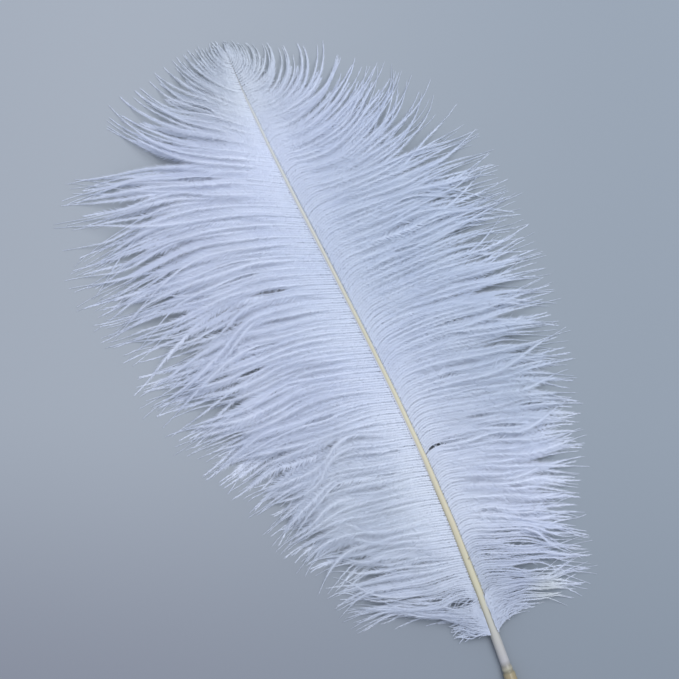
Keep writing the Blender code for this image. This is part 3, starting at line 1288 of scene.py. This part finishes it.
@dataclass
class Quill:
    """The shaft with its horny quill end, as one tapered tube."""

    line: ShaftLine = ShaftLine()
    quill_stations: tuple[float, ...] = (
        0.0, 0.3, 1.0, 2.2, 4.0, 13.0, 21.8, 22.4, 22.7, 23.3, 24.3, 25.0, 25.7, 26.4, 28.5, 34.0,
    )
    quill_radii: tuple[float, ...] = (
        0.9, 1.4, 1.9, 2.35, 2.6, 2.62, 2.6, 2.5, 2.2, 2.26, 2.3, 2.22, 2.04, 2.06, 2.03, 2.0,
    )
    shaft_start: float = 36.0
    spacing: float = 2.0
    tip_length: float = 0.6
    sides: int = 20
    flat_height: float = 0.94
    cap_strip: float = 0.01
    cap_depth: float = 0.001

    def corners(self, stations: np.ndarray, radii: np.ndarray) -> np.ndarray:
        """Lay out the rings of the tube and the points that close it.

        Args:
            stations: where each ring is.
            radii: radius of each ring.

        Returns:
            The rings' corners, then a point at each end.
        """
        turns = np.arange(self.sides) / self.sides * FULL_TURN
        offset = self.line.offset(stations)
        heading = (self.line.heading(stations) - np.pi / 2.0)[:, None]
        rise = self.line.rise(stations) + radii * self.flat_height
        reach = radii[:, None] * np.cos(turns)
        # The underside is flattened, as on the solid.
        lift = radii[:, None] * np.maximum(np.sin(turns), -self.flat_height)
        x = offset[:, None] + reach * np.cos(heading)
        y = stations[:, None] + reach * np.sin(heading)
        rings = np.stack([x, y, rise[:, None] + lift], axis=2).reshape(-1, 3)
        ends = np.stack([offset, stations, rise], axis=1)[[0, -1]]
        ends[1, 1] += self.tip_length
        return np.vstack([rings, ends])

    def build(self, name: str, origin: Vector, material: bpy.types.Material) -> bpy.types.Object:
        """Make the tube, closed at both ends.

        Args:
            name: name of the piece.
            origin: where the quill end lies, in metres.
            material: what the shaft is made of.

        Returns:
            The piece.
        """
        upper = np.arange(self.shaft_start, self.line.end, self.spacing)
        stations = np.concatenate([self.quill_stations, upper])
        corners = self.corners(stations, np.concatenate([self.quill_radii, self.line.radius(upper)]))
        cells = tube_cells(len(stations), self.sides)
        split = (0, 1, 3, 0, 3, 2)
        last = len(corners) - 2
        quill_end = fan(0, self.sides, last)[:, (1, 0, 2)]
        tip = fan(last - self.sides, self.sides, last + 1)
        triangles = np.vstack([cells[:, split].reshape(-1, 3), quill_end, tip])
        flank = cells[:, 0] % self.sides
        ring = cells[:, 0] // self.sides
        low, high = flank / self.sides, (flank + 1) / self.sides
        along = stations / self.line.end
        near, far = along[ring], along[ring + 1]
        cell_places = np.stack([
            np.stack([low, high, low, high], axis=1), np.stack([near, near, far, far], axis=1),
        ], axis=2)
        cap = np.array([(0.0, 0.0), (self.cap_strip, 0.0), (0.0, self.cap_depth)])
        tip_cap = np.array([(0.0, 1.0), (self.cap_strip, 1.0), (0.0, 1.0 - self.cap_depth)])
        places = np.vstack([
            cell_places[:, split].reshape(-1, 2),
            np.tile(cap, (self.sides, 1)),
            np.tile(tip_cap, (self.sides, 1)),
        ])
        parts = MeshParts()
        parts.add(corners, triangles, places)
        shown = parts.make(name, origin, material)
        shown.data.shade_smooth()
        return shown


class MixSocket(Enum):
    """Numbers of the sockets with which a mix node takes and gives colours."""

    FACTOR = 0
    FIRST = 6
    SECOND = 7
    RESULT = 2


def opaque(colour: Colour) -> tuple[float, float, float, float]:
    """Colour with full cover, as sockets take it."""
    return (*colour, 1.0)


@dataclass
class Effects:
    """Shader node groups that the finishes share, each built when it is first used."""

    tone_detail: float = 3.0
    tone_spread: Range = (0.32, 0.68)
    streak_detail: float = 2.0

    def start(self, name: str, inputs: dict[str, str],
              outputs: dict[str, str]) -> tuple[bpy.types.NodeTree, bpy.types.Node, bpy.types.Node]:
        """Start a node group.

        Args:
            name: name of the group.
            inputs: socket type of each named input.
            outputs: socket type of each named output.

        Returns:
            The group, its input node and its output node.
        """
        tree = bpy.data.node_groups.new(name, "ShaderNodeTree")
        for label, kind in inputs.items():
            tree.interface.new_socket(label, in_out="INPUT", socket_type=kind)
        for label, kind in outputs.items():
            tree.interface.new_socket(label, in_out="OUTPUT", socket_type=kind)
        return tree, tree.nodes.new("NodeGroupInput"), tree.nodes.new("NodeGroupOutput")

    @cached_property
    def uneven_tone(self) -> bpy.types.NodeTree:
        """Group that mixes two colours by soft noise in space.

        Returns:
            The group.
        """
        tree, given, result = self.start(
            "uneven_tone",
            {
                "Vector": "NodeSocketVector",
                "Scale": "NodeSocketFloat",
                "Low": "NodeSocketColor",
                "High": "NodeSocketColor",
            },
            {"Color": "NodeSocketColor"},
        )
        noise = tree.nodes.new("ShaderNodeTexNoise")
        noise.inputs["Detail"].default_value = self.tone_detail
        spread = tree.nodes.new("ShaderNodeMapRange")
        spread.inputs["From Min"].default_value = self.tone_spread[0]
        spread.inputs["From Max"].default_value = self.tone_spread[1]
        mix = tree.nodes.new("ShaderNodeMix")
        mix.data_type = "RGBA"
        tree.links.new(given.outputs["Vector"], noise.inputs["Vector"])
        tree.links.new(given.outputs["Scale"], noise.inputs["Scale"])
        tree.links.new(noise.outputs["Fac"], spread.inputs["Value"])
        tree.links.new(spread.outputs["Result"], mix.inputs[MixSocket.FACTOR.value])
        tree.links.new(given.outputs["Low"], mix.inputs[MixSocket.FIRST.value])
        tree.links.new(given.outputs["High"], mix.inputs[MixSocket.SECOND.value])
        tree.links.new(mix.outputs[MixSocket.RESULT.value], result.inputs["Color"])
        return tree

    @cached_property
    def streaks(self) -> bpy.types.NodeTree:
        """Group that gives long streaks along a strip of the map.

        Returns:
            The group.
        """
        tree, given, result = self.start(
            "streaks",
            {"Vector": "NodeSocketVector", "Across": "NodeSocketFloat", "Along": "NodeSocketFloat"},
            {"Value": "NodeSocketFloat"},
        )
        stretch = tree.nodes.new("ShaderNodeCombineXYZ")
        scaled = tree.nodes.new("ShaderNodeVectorMath")
        scaled.operation = "MULTIPLY"
        noise = tree.nodes.new("ShaderNodeTexNoise")
        noise.inputs["Scale"].default_value = 1.0
        noise.inputs["Detail"].default_value = self.streak_detail
        tree.links.new(given.outputs["Across"], stretch.inputs["X"])
        tree.links.new(given.outputs["Along"], stretch.inputs["Y"])
        tree.links.new(given.outputs["Vector"], scaled.inputs[0])
        tree.links.new(stretch.outputs["Vector"], scaled.inputs[1])
        tree.links.new(scaled.outputs["Vector"], noise.inputs["Vector"])
        tree.links.new(noise.outputs["Fac"], result.inputs["Value"])
        return tree

    @cached_property
    def patch(self) -> bpy.types.NodeTree:
        """Group that gives 1 at a place and fades to 0 at a distance from it.

        Returns:
            The group.
        """
        tree, given, result = self.start(
            "patch",
            {"Vector": "NodeSocketVector", "Place": "NodeSocketVector", "Radius": "NodeSocketFloat"},
            {"Mask": "NodeSocketFloat"},
        )
        apart = tree.nodes.new("ShaderNodeVectorMath")
        apart.operation = "DISTANCE"
        fade = tree.nodes.new("ShaderNodeMapRange")
        fade.interpolation_type = "SMOOTHSTEP"
        fade.inputs["From Min"].default_value = 0.0
        fade.inputs["To Min"].default_value = 1.0
        fade.inputs["To Max"].default_value = 0.0
        tree.links.new(given.outputs["Vector"], apart.inputs[0])
        tree.links.new(given.outputs["Place"], apart.inputs[1])
        tree.links.new(apart.outputs["Value"], fade.inputs["Value"])
        tree.links.new(given.outputs["Radius"], fade.inputs["From Max"])
        tree.links.new(fade.outputs["Result"], result.inputs["Mask"])
        return tree


class Paint:
    """One material with the nodes that feed its shader."""

    def __init__(self, name: str, **values: float) -> None:
        """Start a material.

        Args:
            name: name of the material.
            values: uniform numbers of its shader, named with _ for each space.
        """
        self.material = bpy.data.materials.new(name)
        self.material.use_nodes = True
        self.nodes = self.material.node_tree.nodes
        self.links = self.material.node_tree.links
        self.shader = self.nodes["Principled BSDF"]
        for label, value in values.items():
            self.shader.inputs[label.replace("_", " ")].default_value = value

    def feed(self, label: str, value: bpy.types.NodeSocket) -> None:
        """Link a value to a socket of the shader."""
        self.links.new(value, self.shader.inputs[label])

    def object_place(self) -> bpy.types.NodeSocket:
        """Place in space of the point that is shaded."""
        return self.nodes.new("ShaderNodeTexCoord").outputs["Object"]

    def map_place(self) -> bpy.types.NodeSocket:
        """Find where on the map the point is that is shaded.

        Returns:
            The place.
        """
        where = self.nodes.new("ShaderNodeUVMap")
        where.uv_map = BAKE_MAP
        return where.outputs["UV"]

    def use(self, group: bpy.types.NodeTree, vector: bpy.types.NodeSocket,
            **values: float | tuple[float, ...]) -> bpy.types.NodeSocket:
        """Use a node group.

        Args:
            group: the group.
            vector: what feeds its Vector input.
            values: values of its other inputs.

        Returns:
            The group's first output.
        """
        node = self.nodes.new("ShaderNodeGroup")
        node.node_tree = group
        self.links.new(vector, node.inputs["Vector"])
        for name, value in values.items():
            node.inputs[name].default_value = value
        return node.outputs[0]

    def ramp(self, value: bpy.types.NodeSocket, stops: Stops) -> bpy.types.NodeSocket:
        """Turn a value into colours.

        Args:
            value: the value.
            stops: a row of values with the colour that each gives.

        Returns:
            The colour.
        """
        node = self.nodes.new("ShaderNodeValToRGB")
        elements = node.color_ramp.elements
        ready = len(elements)
        for number, (place, colour) in enumerate(stops):
            element = elements[number] if number < ready else elements.new(place)
            element.position = place
            element.color = opaque(colour)
        self.links.new(value, node.inputs["Fac"])
        return node.outputs["Color"]

    def mix(self, factor: float | bpy.types.NodeSocket, first: Colour | bpy.types.NodeSocket,
            second: Colour | bpy.types.NodeSocket, blend: Blend = Blend.MIX) -> bpy.types.NodeSocket:
        """Mix two colours.

        Args:
            factor: how much of the second there is.
            first: the colour at 0.
            second: the colour at 1.
            blend: how the second is laid over the first.

        Returns:
            The mixed colour.
        """
        node = self.nodes.new("ShaderNodeMix")
        node.data_type = "RGBA"
        node.blend_type = blend.value
        fed = ((MixSocket.FACTOR, factor), (MixSocket.FIRST, first), (MixSocket.SECOND, second))
        for place, value in fed:
            socket = node.inputs[place.value]
            if isinstance(value, bpy.types.NodeSocket):
                self.links.new(value, socket)
            else:
                socket.default_value = opaque(value) if isinstance(value, tuple) else value
        return node.outputs[MixSocket.RESULT.value]

    def tint(self, mask: bpy.types.NodeSocket, base: bpy.types.NodeSocket,
             colour: Colour) -> bpy.types.NodeSocket:
        """Multiply a colour by another where a mask is 1.

        Args:
            mask: where, from 0 to 1.
            base: the colour.
            colour: what it is multiplied by.

        Returns:
            The tinted colour.
        """
        return self.mix(mask, base, self.mix(1.0, base, colour, Blend.MULTIPLY))

    def parts(self, vector: bpy.types.NodeSocket) -> bpy.types.NodeOutputs:
        """Split a place up.

        Args:
            vector: the place.

        Returns:
            Its X, Y and Z.
        """
        node = self.nodes.new("ShaderNodeSeparateXYZ")
        self.links.new(vector, node.inputs["Vector"])
        return node.outputs

    def turned(self, vector: bpy.types.NodeSocket, degrees: float) -> bpy.types.NodeSocket:
        """Turn a place about the upright axis.

        Args:
            vector: the place.
            degrees: how far it turns.

        Returns:
            The turned place.
        """
        node = self.nodes.new("ShaderNodeVectorRotate")
        node.rotation_type = "Z_AXIS"
        node.inputs["Angle"].default_value = math.radians(degrees)
        self.links.new(vector, node.inputs["Vector"])
        return node.outputs["Vector"]

    def fade(self, value: bpy.types.NodeSocket, ends: Range) -> bpy.types.NodeSocket:
        """Ease from 0 to 1 as a value goes from one end to another.

        Args:
            value: the value.
            ends: where it starts and ends.

        Returns:
            A mask.
        """
        node = self.nodes.new("ShaderNodeMapRange")
        node.interpolation_type = "SMOOTHSTEP"
        node.inputs["From Min"].default_value = ends[0]
        node.inputs["From Max"].default_value = ends[1]
        self.links.new(value, node.inputs["Value"])
        return node.outputs["Result"]


WHITE = (1.0, 1.0, 1.0)
BLACK = (0.0, 0.0, 0.0)


@dataclass(frozen=True)
class Spot:
    """Place round which the colour differs, and how far that reaches, in metres."""

    place: Place
    radius: float
    colour: Colour


@dataclass(frozen=True)
class BarbFinish:
    """Soft white keratin of the barbs, faintly creamy where the foot's strands lie bare, with painted
    shade in soft spots.
    """

    colour: Colour = (0.87, 0.92, 1.0)
    shade: Colour = (0.82, 0.875, 0.975)
    tone_scale: float = 38.0
    streak_colour: Colour = (0.90, 0.91, 0.95)
    streak_across: float = 90.0
    streak_along: float = 2.5
    cream: Spot = Spot((0.0375, -0.1105, 0.002), 0.013, (0.89, 0.93, 0.93))
    # Painted shade: soft spots where the vane is drawn darker, over its right half and at the foot. Two
    # more make it greyer near the tip and faintly darker and yellower low on the left.
    painted_shade_and_tone_spots: tuple[Spot, ...] = (
        Spot((0.0482, 0.0456, 0.006), 0.105, (0.82, 0.86, 0.875)),
        Spot((0.0620, -0.0240, 0.006), 0.050, (0.82, 0.85, 0.86)),
        Spot((-0.0137, -0.0534, 0.006), 0.070, (0.95, 0.96, 0.92)),
        Spot((0.0063, 0.1466, 0.003), 0.050, (0.865, 0.875, 0.83)),
        Spot((0.0470, 0.1040, 0.004), 0.048, (0.90, 0.91, 0.93)),
        Spot((0.0090, -0.1080, 0.003), 0.046, (0.80, 0.82, 0.83)),
    )
    along: Stops = (
        (0.00, WHITE),
        (0.10, WHITE),
        (0.35, (0.95, 0.955, 0.965)),
        (0.75, (0.97, 0.975, 0.975)),
        (0.90, (0.99, 0.99, 0.98)),
        (1.00, (0.98, 0.98, 0.97)),
    )
    roughness: float = 0.8
    specular: float = 0.25
    sheen: float = 0.25

    def make(self, effects: Effects) -> bpy.types.Material:
        """Make the barbs' material.

        Args:
            effects: the shared node groups.

        Returns:
            The material.
        """
        paint = Paint(
            "barb_keratin",
            Roughness=self.roughness, Specular_IOR_Level=self.specular, Sheen_Weight=self.sheen,
        )
        space = paint.object_place()
        low, high = opaque(self.shade), opaque(self.colour)
        tone = paint.use(effects.uneven_tone, space, Scale=self.tone_scale, Low=low, High=high)
        streak = paint.use(
            effects.streaks, paint.map_place(), Across=self.streak_across, Along=self.streak_along
        )
        tone = paint.tint(streak, tone, self.streak_colour)
        cream = paint.use(effects.patch, space, Place=self.cream.place, Radius=self.cream.radius)
        tone = paint.mix(cream, tone, self.cream.colour)
        # Lay on the painted shade spots and the darker tone spots.
        for tint in self.painted_shade_and_tone_spots:
            patch = paint.use(effects.patch, space, Place=tint.place, Radius=tint.radius)
            tone = paint.tint(patch, tone, tint.colour)
        share = paint.parts(paint.map_place())["Y"]
        paint.feed("Base Color", paint.mix(1.0, tone, paint.ramp(share, self.along), Blend.MULTIPLY))
        return paint.material


@dataclass(frozen=True)
class ShaftFinish:
    """Horny keratin of the shaft: tan sheath, grey-white quill, cream shaft, pale tip."""

    along: Stops = (
        (0.000, (0.36, 0.30, 0.18)),
        (0.0715, (0.40, 0.34, 0.20)),
        (0.0735, (0.20, 0.18, 0.12)),
        (0.0760, (0.50, 0.48, 0.36)),
        (0.0800, (0.46, 0.44, 0.34)),
        (0.0830, (0.30, 0.29, 0.26)),
        (0.0880, (0.54, 0.54, 0.55)),
        (0.1450, (0.60, 0.60, 0.52)),
        (0.2000, (0.70, 0.67, 0.48)),
        (0.3000, (0.72, 0.67, 0.48)),
        (0.4800, (0.70, 0.67, 0.49)),
        (0.5800, (0.64, 0.62, 0.47)),
        (0.7000, (0.62, 0.62, 0.54)),
        (0.8200, (0.62, 0.64, 0.60)),
        (1.0000, (0.60, 0.63, 0.64)),
    )
    around: Stops = (
        (0.000, (0.72, 0.74, 0.80)),
        (0.085, (0.94, 0.96, 1.04)),
        (0.117, (0.50, 0.49, 0.46)),
        (0.136, WHITE),
        (0.330, WHITE),
        (0.3625, (0.66, 0.65, 0.62)),
        (0.400, (0.98, 1.0, 1.06)),
        (0.500, (0.72, 0.74, 0.80)),
    )
    ridged: Stops = ((0.10, BLACK), (0.19, WHITE), (0.62, WHITE), (0.80, BLACK))
    flank: Colour = (0.86, 0.88, 0.96)
    flank_around: Stops = ((0.108, WHITE), (0.116, BLACK), (0.315, BLACK), (0.345, WHITE))
    flank_along: Stops = ((0.33, BLACK), (0.42, WHITE))
    gloss: Stops = ((0.070, (0.30, 0.30, 0.30)), (0.095, (0.42, 0.42, 0.42)))
    streak_colour: Colour = (0.86, 0.84, 0.78)
    streak_across: float = 26.0
    streak_along: float = 9.0
    nick: Spot = Spot((0.0120, -0.0849, 0.0055), 0.0008, (0.22, 0.19, 0.14))

    def make(self, effects: Effects) -> bpy.types.Material:
        """Make the shaft's material.

        Args:
            effects: the shared node groups.

        Returns:
            The material.
        """
        paint = Paint("shaft_keratin")
        place = paint.map_place()
        parts = paint.parts(place)
        around, along = parts["X"], parts["Y"]
        colour = paint.ramp(along, self.along)
        lines = paint.mix(1.0, colour, paint.ramp(around, self.around), Blend.MULTIPLY)
        colour = paint.mix(paint.ramp(along, self.ridged), colour, lines)
        low = paint.ramp(around, self.flank_around)
        low = paint.mix(1.0, low, paint.ramp(along, self.flank_along), Blend.MULTIPLY)
        colour = paint.mix(low, colour, self.flank)
        streak = paint.use(effects.streaks, place, Across=self.streak_across, Along=self.streak_along)
        colour = paint.tint(streak, colour, self.streak_colour)
        nick = paint.use(
            effects.patch, paint.object_place(), Place=self.nick.place, Radius=self.nick.radius
        )
        paint.feed("Base Color", paint.mix(nick, colour, self.nick.colour))
        paint.feed("Roughness", paint.ramp(along, self.gloss))
        return paint.material


@dataclass(frozen=True)
class SurfaceFinish:
    """Matt grey-blue surface with painted shade, which darkens it softly to the right and towards the near
    side.
    """

    # Painted shade: the right-hand and near colours are darker, standing in for the light falling off.
    far_left: Colour = (0.397, 0.434, 0.456)
    far_right: Colour = (0.292, 0.337, 0.367)
    near_left: Colour = (0.279, 0.299, 0.332)
    near_right: Colour = (0.256, 0.297, 0.328)
    side_fade: Range = (-0.13, 0.13)
    far_fade: Range = (-0.145, 0.0)
    roughness: float = 0.7

    def make(self) -> bpy.types.Material:
        """Make the surface's material.

        Returns:
            The material.
        """
        paint = Paint("surface", Roughness=self.roughness)
        parts = paint.parts(paint.turned(paint.object_place(), ROLL))
        side = paint.fade(parts["X"], self.side_fade)
        # Painted shade: blend towards the darker colours to the right and on the near side.
        far = paint.mix(side, self.far_left, self.far_right)
        near = paint.mix(side, self.near_left, self.near_right)
        paint.feed("Base Color", paint.mix(paint.fade(parts["Y"], self.far_fade), near, far))
        return paint.material


@dataclass
class Studio:
    """Pale surface, soft light and a camera that looks straight down."""

    surface: SurfaceFinish = SurfaceFinish()
    surface_reach: float = 3.0
    sky_colour: Colour = (0.775, 0.83, 1.0)
    sky_strength: float = 0.530
    lamp_colour: Colour = (0.92, 0.93, 1.0)
    lamp_power: float = 9.2
    lamp_size: float = 0.8
    lamp_place: Place = (0.45, 0.22, 1.0)
    camera_height: float = 0.75
    sharp_height: float = 0.006
    millimetres_per_pixel: float = 0.42
    frame_pixels: float = 679.0
    aim: tuple[float, float] = (0.0002, 0.02135)

    def floor(self) -> None:
        """Lay the surface."""
        reach = self.surface_reach
        corners = ((-reach, -reach, 0.0), (reach, -reach, 0.0), (reach, reach, 0.0), (-reach, reach, 0.0))
        mesh = bpy.data.meshes.new("surface")
        mesh.from_pydata(corners, [], [(0, 1, 2, 3)])
        mesh.materials.append(self.surface.make())
        floor = bpy.data.objects.new("surface", mesh)
        bpy.context.scene.collection.objects.link(floor)

    def lights(self) -> None:
        """Set the sky and one large soft lamp."""
        world = bpy.data.worlds.new("studio")
        world.use_nodes = True
        background = world.node_tree.nodes["Background"]
        background.inputs["Color"].default_value = opaque(self.sky_colour)
        background.inputs["Strength"].default_value = self.sky_strength
        bpy.context.scene.world = world
        lamp = bpy.data.lights.new("soft_lamp", "AREA")
        lamp.energy = self.lamp_power
        lamp.color = self.lamp_colour
        lamp.size = self.lamp_size
        holder = bpy.data.objects.new("soft_lamp", lamp)
        holder.location = self.lamp_place
        holder.rotation_euler = (-holder.location).to_track_quat("-Z", "Y").to_euler()
        bpy.context.scene.collection.objects.link(holder)

    def camera(self) -> None:
        """Look straight down, turned as in the photograph."""
        lens = bpy.data.cameras.new("camera")
        width = self.frame_pixels * self.millimetres_per_pixel * MM
        lens.lens = lens.sensor_width * (self.camera_height - self.sharp_height) / width
        holder = bpy.data.objects.new("camera", lens)
        holder.location = (*self.aim, self.camera_height)
        holder.rotation_euler = (0.0, 0.0, -math.radians(ROLL))
        bpy.context.scene.collection.objects.link(holder)
        bpy.context.scene.camera = holder

    def build(self) -> None:
        """Set everything round the plume."""
        self.floor()
        self.lights()
        self.camera()
        bpy.context.scene.view_settings.view_transform = "Standard"


def top_layers() -> tuple[VaneLayer, ...]:
    """Lay out the barbs on top, on both sides of the shaft.

    Returns:
        A layer for each side, with three pieces each.
    """
    words = ("lower", "middle", "upper")
    left = BarbField(Side.LEFT, LEFT_LIE, LEFT_GAPS, LEFT_FALLS, FluffPlan(LEFT_FLUFF))
    # The bare strands near the foot on the right are bare from their roots on.
    right_fluff = FluffPlan(RIGHT_FLUFF, onset=Curve((50, 76, 95), (-0.15, -0.10, 0.35)))
    right = BarbField(
        Side.RIGHT, RIGHT_LIE, RIGHT_GAPS, RIGHT_FALLS, right_fluff,
        parting=GapPlan(scale=0.50), drifts=(Drift(13.0, 3, 1.0), Drift(4.4, 4, 0.6)),
    )
    return tuple(VaneLayer(layout, BarbBuilder(layout.side), words) for layout in (left, right))


def under_layer(side: Side, lie: Lie, gaps: tuple[Gap, ...], fluff: Curve, seed: int) -> VaneLayer:
    """Lay out looser barbs underneath, which show in the openings.

    Args:
        side: side of the shaft.
        lie: how that side's barbs lie.
        gaps: openings that go right through.
        fluff: how fluffy the barbs are along the shaft.
        seed: start of the random numbers.

    Returns:
        The layer, with one piece.
    """
    layout = BarbField(
        side, lie, gaps, (), FluffPlan(fluff), seed=seed,
        growing=GrowthPlan(count=190, stray_share=0.4), turning=TurnPlan(strand_turn=8.0),
        lengths=LengthPlan(short_share=0.2, scale=0.97, tip_loss=0.22),
        lock_pull=LockPull(spread=0.1), strand_pull=StrandPull(pull=0.2), heights=HeightPlan(drop=2.2),
    )
    builder = BarbBuilder(
        side, spacing=0.26, seed=300, lift=-10.0,
        reaches=Curve(BARB_PLACES, (2.4, 2.6, 3.0, 3.6, 4.4, 4.4, 3.4, 1.4)),
        angles=Curve(BARB_PLACES, (50.0, 50.0, 48.0, 46.0, 42.0, 36.0, 25.0, 12.0)),
    )
    return VaneLayer(layout, builder, ("under",))


def under_layers() -> tuple[VaneLayer, ...]:
    """Lay out the barbs underneath, parted only where an opening is wide.

    Returns:
        A layer for each side, with one piece each.
    """
    left_gaps = tuple(gap for gap in LEFT_GAPS if gap.width >= WIDE_GAP)
    right_gaps = tuple(gap for gap in RIGHT_GAPS if gap.width >= WIDE_GAP) + (Gap(121, 0, 9, 0.8),)
    return (
        under_layer(Side.LEFT, LEFT_LIE, left_gaps, LEFT_FLUFF, 31),
        under_layer(Side.RIGHT, RIGHT_LIE, right_gaps, RIGHT_FLUFF, 32),
    )


def tufts() -> tuple[Down, ...]:
    """Lay out the down at the foot of the vane and the short soft barbs at the tip.

    Returns:
        The pieces to build.
    """
    return (
        Down("down_left", Side.LEFT, (40, 50), (40, 90), (60, 108), (5, 17), seed=61),
        Down("down_across", Side.LEFT, (50, 60), (50, 90), (95, 140), (8, 15), seed=64, count=30),
        Down("down_right", Side.RIGHT, (41, 57), (10, 85), (45, 125), (6, 20), seed=62),
        Down("down_tip", Side.LEFT, (297, 308), (4, 70), (4, 50), (5, 10), seed=63, count=60,
             waver=8.0, top=1.2, lift=(-0.2, 0.3)),
    )


def settle(piece: bpy.types.Object) -> None:
    """Hide the solid, hang a piece from the root body and log its triangles.

    Args:
        piece: the piece.
    """
    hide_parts(NODE)
    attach(piece, "root")
    LOG.info("%s: %d triangles", piece.name, len(piece.data.polygons))


def main() -> None:
    """Build the plume and what is round it."""
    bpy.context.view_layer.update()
    lowest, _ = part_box(NODE)
    origin = Vector((QUILL_X, lowest[1], 0.0))
    effects = Effects()
    keratin = BarbFinish().make(effects)
    settle(Quill().build("shaft", origin, ShaftFinish().make(effects)))
    for layer in top_layers() + under_layers():
        for piece in layer.build(origin, keratin):
            settle(piece)
    for tuft in tufts():
        settle(tuft.build(origin, keratin))
    Studio().build()


if __name__ == "__main__":
    logging.basicConfig(level=logging.INFO)
    main()
